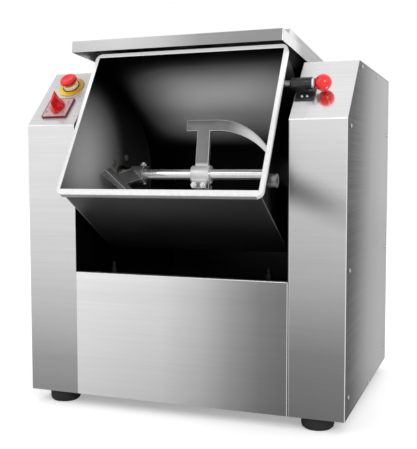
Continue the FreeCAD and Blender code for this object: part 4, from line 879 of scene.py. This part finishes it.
class MIXER_OT_lid(bpy.types.Operator):
    """Lid with its hinges"""
    bl_idname = "mixer.lid"
    bl_label = "Lid"

    def execute(self, context):
        radius = context.scene.mixer_sheet.fold_radius
        steel = brushed_steel("lid_steel", lid_tones)
        hinge = turned_metal("hinge_steel", (0.55, 0.55, 0.54), 0.3)
        finished_copy("lid_panel", "lid", steel, radius, True, LID_FOLD_TURN, PANEL_SLOT)
        finish_nodes(hinge, "lid_hinge_leaves", "hinge_base_leaves", "hinge_pins")
        return {"FINISHED"}


class MIXER_OT_trough(bpy.types.Operator):
    """Trough, its bright rim and its trunnions"""
    bl_idname = "mixer.trough"
    bl_label = "Trough"

    def execute(self, context):
        inside = satin_trough("trough_steel")
        rim = bright_rim("rim_steel")
        finish_nodes(inside, "trough_shell", "trough_left_wall", "trough_right_wall")
        finished_copy("trough_rim", "trough", rim, context.scene.mixer_sheet.rim_radius,
                      slot="stainless_rim")
        turned = turned_metal("trunnion_steel", (0.50, 0.50, 0.51))
        finish_nodes(turned, "left_trunnion", "right_trunnion")
        dark = turned_metal("lock_bush_steel", (0.26, 0.26, 0.26), 0.3, metallic=0.9)
        finish_nodes(dark, "upright_lock_bush", "tilt_lock_bush")
        heads = turned_metal("wall_bolt_steel", (0.16, 0.16, 0.16), 0.3, metallic=0.5)
        make_wall_bolts("left_wall_bolts", "trough_left_wall", 1, heads)
        make_wall_bolts("right_wall_bolts", "trough_right_wall", -1, heads)
        bronze = turned_metal("bush_bronze_finish", (0.12, 0.10, 0.08), 0.3)
        finish_nodes(bronze, "left_shaft_bush", "right_shaft_bush")
        return {"FINISHED"}


def make_wall_bolts(name, wall, inward, material):
    """Four hexagon heads inside an end wall, which hold the trunnion's flange."""
    axis = middle("mixing_shaft")
    low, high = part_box(wall)
    inner = high[0] if inward > 0 else low[0]
    form = bmesh.new()
    for number in range(4):
        angle = FLANGE_BOLT_START + number * math.pi / 2
        head = bmesh.ops.create_cone(form, cap_ends=True, segments=6, radius1=HEX_RADIUS,
                                     radius2=HEX_RADIUS * HEX_TAPER, depth=HEX_HEIGHT)
        turn = Matrix.Rotation(inward * math.pi / 2, 3, "Y")
        bmesh.ops.rotate(form, verts=head["verts"], cent=(0, 0, 0), matrix=turn)
        spot = Vector((inner + inward * HEX_HEIGHT / 2,
                       axis.y + FLANGE_BOLT_RING * math.cos(angle),
                       axis.z + FLANGE_BOLT_RING * math.sin(angle)))
        bmesh.ops.translate(form, verts=head["verts"], vec=spot)
    edges = [edge for edge in form.edges if is_sharp(edge, SHARP_TURN)]
    rounded(form, edges, HEX_ROUNDING)
    new_piece(name, "trough", form, material, slot="zinc_steel", smooth=SHARP_TURN)


class MIXER_OT_paddles(bpy.types.Operator):
    """Mixing shaft with its paddles and their clamp bolts"""
    bl_idname = "mixer.paddles"
    bl_label = "Mixing shaft and paddles"

    def execute(self, context):
        satin = paddle_steel("paddle_steel")
        # Painted highlight along the paddles' rounded edges
        edge = fold_highlight("paddle_edge_highlight")
        chrome = turned_metal("shaft_chrome", (0.97, 0.97, 0.97), 0.09, metallic=0.85)
        zinc = turned_metal("bolt_zinc", (0.85, 0.85, 0.84), 0.24, metallic=0.4)
        for node in ("centre_paddle", "left_paddle", "right_paddle"):
            finished_copy(node, "mixing_shaft", satin, PADDLE_ROUNDING, slot="satin_steel",
                          edge_highlight=edge)
        finish_nodes(chrome, "mixing_shaft")
        finish_nodes(zinc, "paddle_bolts")
        return {"FINISHED"}


class MIXER_OT_drive(bpy.types.Operator):
    """Gears, belt, motor and bearings inside the machine"""
    bl_idname = "mixer.drive"
    bl_label = "Drive"

    def execute(self, context):
        machined = turned_metal("gear_steel", (0.40, 0.40, 0.41), 0.35)
        cast = moulded("cast_iron_paint", (0.10, 0.11, 0.12), 0.5, speckle=0.15)
        finish_nodes(machined, "driven_gear", "pinion", "countershaft", "motor_shaft")
        finish_nodes(cast, "large_pulley", "motor_pulley", "countershaft_bearing",
                     "left_trunnion_bearing", "right_trunnion_bearing")
        finish_nodes(moulded("motor_enamel", (0.09, 0.15, 0.24), 0.35, 0.3),
                     "motor_housing")
        finish_nodes(moulded("plate_primer", (0.11, 0.12, 0.13), 0.5, speckle=0.1),
                     "motor_base", "base_frame", "left_bearing_plate",
                     "right_bearing_plate")
        finish_nodes(moulded("belt_rubber", (0.02, 0.02, 0.02), 0.7), "v_belt")
        finish_nodes(turned_metal("bearing_bolt_zinc", (0.6, 0.6, 0.58), 0.3),
                     "bearing_bolts")
        return {"FINISHED"}


class MIXER_OT_controls(bpy.types.Operator):
    """Stop button and rotary switch on the left tower's slope"""
    bl_idname = "mixer.controls"
    bl_label = "Controls"

    def execute(self, context):
        controls = context.scene.mixer_controls
        red = moulded("control_red", tuple(controls.button_red), 0.25, 0.1, shade=0.4)
        yellow = yellow_plastic("ring_yellow_plastic", tuple(controls.ring_yellow))
        cream = moulded("collar_cream_plastic", tuple(controls.collar_cream), 0.3, 0.2)
        black = moulded("switch_black", (0.015, 0.015, 0.016), 0.4)
        finished_copy("estop_ring", "machine", yellow, RING_ROUNDING, slot="yellow_plastic")
        finished_copy("estop_body", "machine", cream, COLLAR_ROUNDING, slot="ivory_plastic")
        finished_copy("estop_button", "estop_button", red, BUTTON_ROUNDING,
                      slot="red_plastic")
        finish_nodes(switch_plate_finish(), "switch_plate")
        finish_nodes(black, "switch_body", "cable_gland")
        make_collar_seal(black)
        make_switch_handle(red)
        make_switch_figures(black)
        return {"FINISHED"}


def make_collar_seal(material):
    """Dark sealing ring between the yellow ring and the collar."""
    form = place_form(turned_form(SEAL_PROFILE), ONTO_SLOPE, face_of("estop_ring"))
    new_piece("estop_seal", "machine", form, material, slot="black_rubber",
              smooth=SMALL_SMOOTH_TURN)


def make_switch_handle(material):
    """Leaf-shaped foot that narrows to a straight grip."""
    form = bmesh.new()
    bmesh.ops.create_circle(form, cap_ends=True, segments=48, radius=1.0)
    for vert in form.verts:
        vert.co.x *= abs(vert.co.x) ** HANDLE_POINT * HANDLE_WIDTH
        vert.co.y *= HANDLE_LENGTH
    cap = form.faces[:]
    width, length, height = HANDLE_WIDTH, HANDLE_LENGTH, 0.0
    for level, next_width, next_length in HANDLE_SECTIONS:
        made = bmesh.ops.extrude_face_region(form, geom=cap)
        if height:
            bmesh.ops.delete(form, geom=cap, context="FACES")
        verts = only(bmesh.types.BMVert, made)
        cap = only(bmesh.types.BMFace, made)
        bmesh.ops.translate(form, verts=verts, vec=(0, 0, level - height))
        bmesh.ops.scale(form, verts=verts, vec=(next_width / width, next_length / length, 1))
        width, length, height = next_width, next_length, level
    bmesh.ops.recalc_face_normals(form, faces=form.faces)
    edges = [edge for edge in form.edges if is_sharp(edge, HANDLE_SHARP_TURN)]
    rounded(form, edges, HANDLE_ROUNDING)
    turn = ONTO_SLOPE @ Matrix.Rotation(HANDLE_TURN, 3, "Z")
    place_form(form, turn, face_of("switch_plate") + SLOPE_OUT * HANDLE_GAP)
    new_piece("switch_handle", "switch_knob", form, material, "switch_knob",
              slot="red_plastic", smooth=HANDLE_SHARP_TURN)


def make_switch_figures(material):
    """Figures of the three positions, printed on the plate."""
    base = face_of("switch_plate") + SLOPE_OUT * FIGURE_GAP
    for figure, across, up in SWITCH_FIGURES:
        letter = bpy.data.curves.new("mark", "FONT")
        letter.body = figure
        letter.size = FIGURE_SIZE
        letter.extrude = FIGURE_DEPTH
        letter.align_x = "CENTER"
        letter.align_y = "CENTER"
        flat = bpy.data.objects.new("mark", letter)
        bpy.context.scene.collection.objects.link(flat)
        form = bmesh.new()
        form.from_mesh(bpy.data.meshes.new_from_object(flat))
        bpy.data.objects.remove(flat)
        place_form(form, ONTO_SLOPE, base + RIGHT * across + SLOPE_UP * up)
        new_piece("switch_figure_" + figure, "machine", form, material, slot="black_plastic")


class MIXER_OT_lock_pin(bpy.types.Operator):
    """Lock pin with its sleeve, its foot and its red ball"""
    bl_idname = "mixer.lock_pin"
    bl_label = "Lock pin"

    def execute(self, context):
        red = tuple(context.scene.mixer_controls.button_red)
        black = moulded("pin_black", (0.010, 0.010, 0.011), 0.3, 0.2)
        glossy = moulded("ball_red", red, 0.20, 0.3, shade=0.15)
        finished_copy("lock_pin_ball", "lock_pin", glossy, slot="red_plastic")
        finish_nodes(black, "lock_pin_guide", "lock_pin_bracket")
        finish_nodes(turned_metal("collar_chrome", (0.9, 0.9, 0.9), 0.2, metallic=0.5),
                     "lock_pin_collar")
        finish_nodes(turned_metal("pin_chrome", (0.30, 0.30, 0.30), 0.2), "lock_pin_rod")
        make_sleeve(black)
        make_foot(black)
        return {"FINISHED"}


def make_sleeve(material):
    """Ringed sleeve over the guide, into which the collar slides."""
    axis = middle("lock_pin_guide")
    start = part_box("lock_pin_guide")[0][0] + SLEEVE_FROM_GUIDE
    collar_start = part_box("lock_pin_collar")[0][0]
    length = collar_start + SLEEVE_OVER_COLLAR - start
    step = collar_start - STEP_BEFORE_COLLAR - start
    outside = SLEEVE_START + [(length - back, radius) for back, radius in SLEEVE_END]
    bore = [(length, MOUTH_BORE), (step, MOUTH_BORE), (step, SLEEVE_BORE)]
    form = turned_form([(0.0, SLEEVE_BORE)] + outside + bore)
    place_form(form, Z_TO_X, (start, axis.y, axis.z))
    new_piece("lock_pin_sleeve", "machine", form, material, slot="black_plastic",
              smooth=SMALL_SMOOTH_TURN)


def make_foot(material):
    """Plate under the guide, screwed to the slope by two slotted screws."""
    guide = middle("lock_pin_guide")
    base = guide + SLOPE_OUT * (outermost("right_tower_housing") - guide.dot(SLOPE_OUT))
    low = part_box("right_tower_housing")[0][0] + FOOT_FROM_FOLD
    form = bmesh.new()
    bmesh.ops.create_cube(form, size=1.0)
    bmesh.ops.scale(form, verts=form.verts, vec=(FOOT_END - low, FOOT_LENGTH, FOOT_GAUGE))
    rounded(form, form.edges[:], FOOT_ROUNDING)
    centre = Vector(((low + FOOT_END) / 2, base.y, base.z)) + SLOPE_UP * FOOT_UP
    place_form(form, ONTO_SLOPE, centre + SLOPE_OUT * FOOT_GAUGE / 2)
    new_piece("lock_pin_foot", "machine", form, material, slot="black_plastic",
              smooth=SMALL_SMOOTH_TURN)
    steel = turned_metal("foot_screw_steel", (0.75, 0.75, 0.74), 0.25, metallic=0.6)
    for number, across in enumerate(FOOT_SCREWS):
        head = slotted_head(FOOT_SCREW_RADIUS, FOOT_SCREW_HEIGHT)
        place = Vector((across, base.y, base.z)) + SLOPE_UP * FOOT_SCREW_UP
        place_form(head, ONTO_SLOPE @ Matrix.Rotation(FOOT_SCREW_TURN + number, 3, "Z"),
                   place + SLOPE_OUT * FOOT_GAUGE)
        new_piece(f"lock_pin_foot_screw_{number + 1}", "machine", head, steel,
                  slot="zinc_steel", smooth=SMALL_SMOOTH_TURN)


def slotted_head(radius, height):
    """Pan head with a straight slot."""
    form = bmesh.new()
    bmesh.ops.create_cone(form, cap_ends=True, segments=24, radius1=radius,
                          radius2=radius * HEAD_TAPER, depth=height)
    bmesh.ops.translate(form, verts=form.verts, vec=(0, 0, height / 2))
    for side in (-1, 1):
        bmesh.ops.bisect_plane(form, geom=form.verts[:] + form.edges[:] + form.faces[:],
                               plane_co=(0, side * radius * SLOT_HALF_WIDTH, 0),
                               plane_no=(0, 1, 0))
    slot = [face for face in form.faces
            if face.normal.z > 0.9 and abs(face.calc_center_median().y) < radius * 0.1]
    made = bmesh.ops.extrude_face_region(form, geom=slot)
    bmesh.ops.delete(form, geom=slot, context="FACES")
    bmesh.ops.translate(form, verts=only(bmesh.types.BMVert, made),
                        vec=(0, 0, -height * SLOT_DEPTH))
    bmesh.ops.recalc_face_normals(form, faces=form.faces)
    return form


class MIXER_OT_small_parts(bpy.types.Operator):
    """Screws, studs and feet"""
    bl_idname = "mixer.small_parts"
    bl_label = "Screws, studs and feet"

    def execute(self, context):
        finish_nodes(turned_metal("screw_steel", (0.62, 0.62, 0.61), 0.25),
                     "side_cover_screws", "foot_bolts")
        # Painted shade: the studs' steel is near black, as they stand in the machine's shade
        finish_nodes(turned_metal("stud_steel", (0.02, 0.02, 0.02), 0.4), "rest_studs")
        finish_nodes(moulded("foot_rubber", (0.008, 0.008, 0.008), 0.8), "feet")
        return {"FINISHED"}


class MIXER_OT_stage(bpy.types.Operator):
    """Floor, surroundings, lamps and camera"""
    bl_idname = "mixer.stage"
    bl_label = "Stage"

    def execute(self, context):
        settings = context.scene.mixer_stage
        make_floor()
        make_surroundings(context.scene, settings.sky_level)
        for lamp in LAMPS:
            add_lamp(*lamp)
        make_camera(context.scene, settings)
        context.scene.view_settings.view_transform = "Standard"
        return {"FINISHED"}


def make_floor():
    """White floor, a little brighter to the camera than it is lit."""
    form = bmesh.new()
    bmesh.ops.create_grid(form, x_segments=1, y_segments=1, size=FLOOR_SIZE)
    paint = Paint("floor_white")
    glow = paint.node("Emission", {}, Strength=FLOOR_GLOW)
    both = paint.node("AddShader", {}, paint.shader, glow)
    seen = paint.node("LightPath", {}, out="Is Camera Ray")
    paint.show(paint.node("MixShader", {}, seen, paint.shader, both))
    new_object("floor", form, paint.set(Base_Color=0.82, Roughness=0.7))


def make_surroundings(scene, level):
    """White for the camera, and a softer white for light and reflections."""
    scene.world = bpy.data.worlds.new("studio")
    nodes = Nodes(scene.world, "OutputWorld")
    seen = nodes.node("LightPath", {}, out="Is Camera Ray")
    sky = nodes.node("Background", {}, Color=1.0, Strength=level)
    white = nodes.node("Background", {}, Color=1.0, Strength=1.0)
    nodes.show(nodes.node("MixShader", {}, seen, sky, white))


def add_lamp(name, place, target, size, power):
    lamp = bpy.data.lights.new(name, "AREA")
    lamp.size = size
    lamp.energy = power
    holder = bpy.data.objects.new(name, lamp)
    bpy.context.scene.collection.objects.link(holder)
    holder.location = place
    aim = Vector(target) - Vector(place)
    holder.rotation_euler = aim.to_track_quat("-Z", "Y").to_euler()


def make_camera(scene, settings):
    lens = bpy.data.cameras.new("camera")
    lens.lens = settings.focal_length
    lens.sensor_width = SENSOR_WIDTH
    camera = bpy.data.objects.new("camera", lens)
    scene.collection.objects.link(camera)
    camera.location = settings.camera_place
    camera.rotation_mode = "QUATERNION"
    upright = math.pi / 2 - settings.camera_dip
    camera.rotation_quaternion = (
        Quaternion((0, 0, 1), settings.camera_heading)
        @ Quaternion((1, 0, 0), upright)
        @ Quaternion((0, 0, 1), settings.camera_roll))
    scene.camera = camera


OPERATORS = [
    MIXER_OT_stage, MIXER_OT_towers, MIXER_OT_panels, MIXER_OT_lid, MIXER_OT_trough,
    MIXER_OT_paddles, MIXER_OT_drive, MIXER_OT_controls, MIXER_OT_lock_pin,
    MIXER_OT_small_parts,
]

SETTINGS = {
    "mixer_sheet": MixerSheetSettings,
    "mixer_controls": MixerControlSettings,
    "mixer_stage": MixerStageSettings,
}


class MIXER_PT_sidebar(bpy.types.Panel):
    """Lists the steps and their settings"""
    bl_label = "Dough mixer"
    bl_idname = "MIXER_PT_sidebar"
    bl_space_type = "VIEW_3D"
    bl_region_type = "UI"
    bl_category = "Dough mixer"

    def draw(self, context):
        for operator in OPERATORS:
            self.layout.operator(operator.bl_idname)
        for group in SETTINGS:
            settings = getattr(context.scene, group)
            box = self.layout.box()
            for name in settings.bl_rna.properties.keys():
                if name not in ("rna_type", "name"):
                    box.prop(settings, name)


def register():
    for group in (*SETTINGS.values(), *OPERATORS, MIXER_PT_sidebar):
        bpy.utils.register_class(group)
    for name, group in SETTINGS.items():
        setattr(bpy.types.Scene, name, bpy.props.PointerProperty(type=group))


def unregister():
    for name in SETTINGS:
        delattr(bpy.types.Scene, name)
    for group in (MIXER_PT_sidebar, *reversed(OPERATORS), *SETTINGS.values()):
        bpy.utils.unregister_class(group)


def main():
    register()
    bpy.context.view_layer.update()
    for operator in OPERATORS:
        group, name = operator.bl_idname.split(".")
        if getattr(getattr(bpy.ops, group), name)() != {"FINISHED"}:
            raise RuntimeError(f"{operator.bl_label} did not finish")


if __name__ == "__main__":
    main()
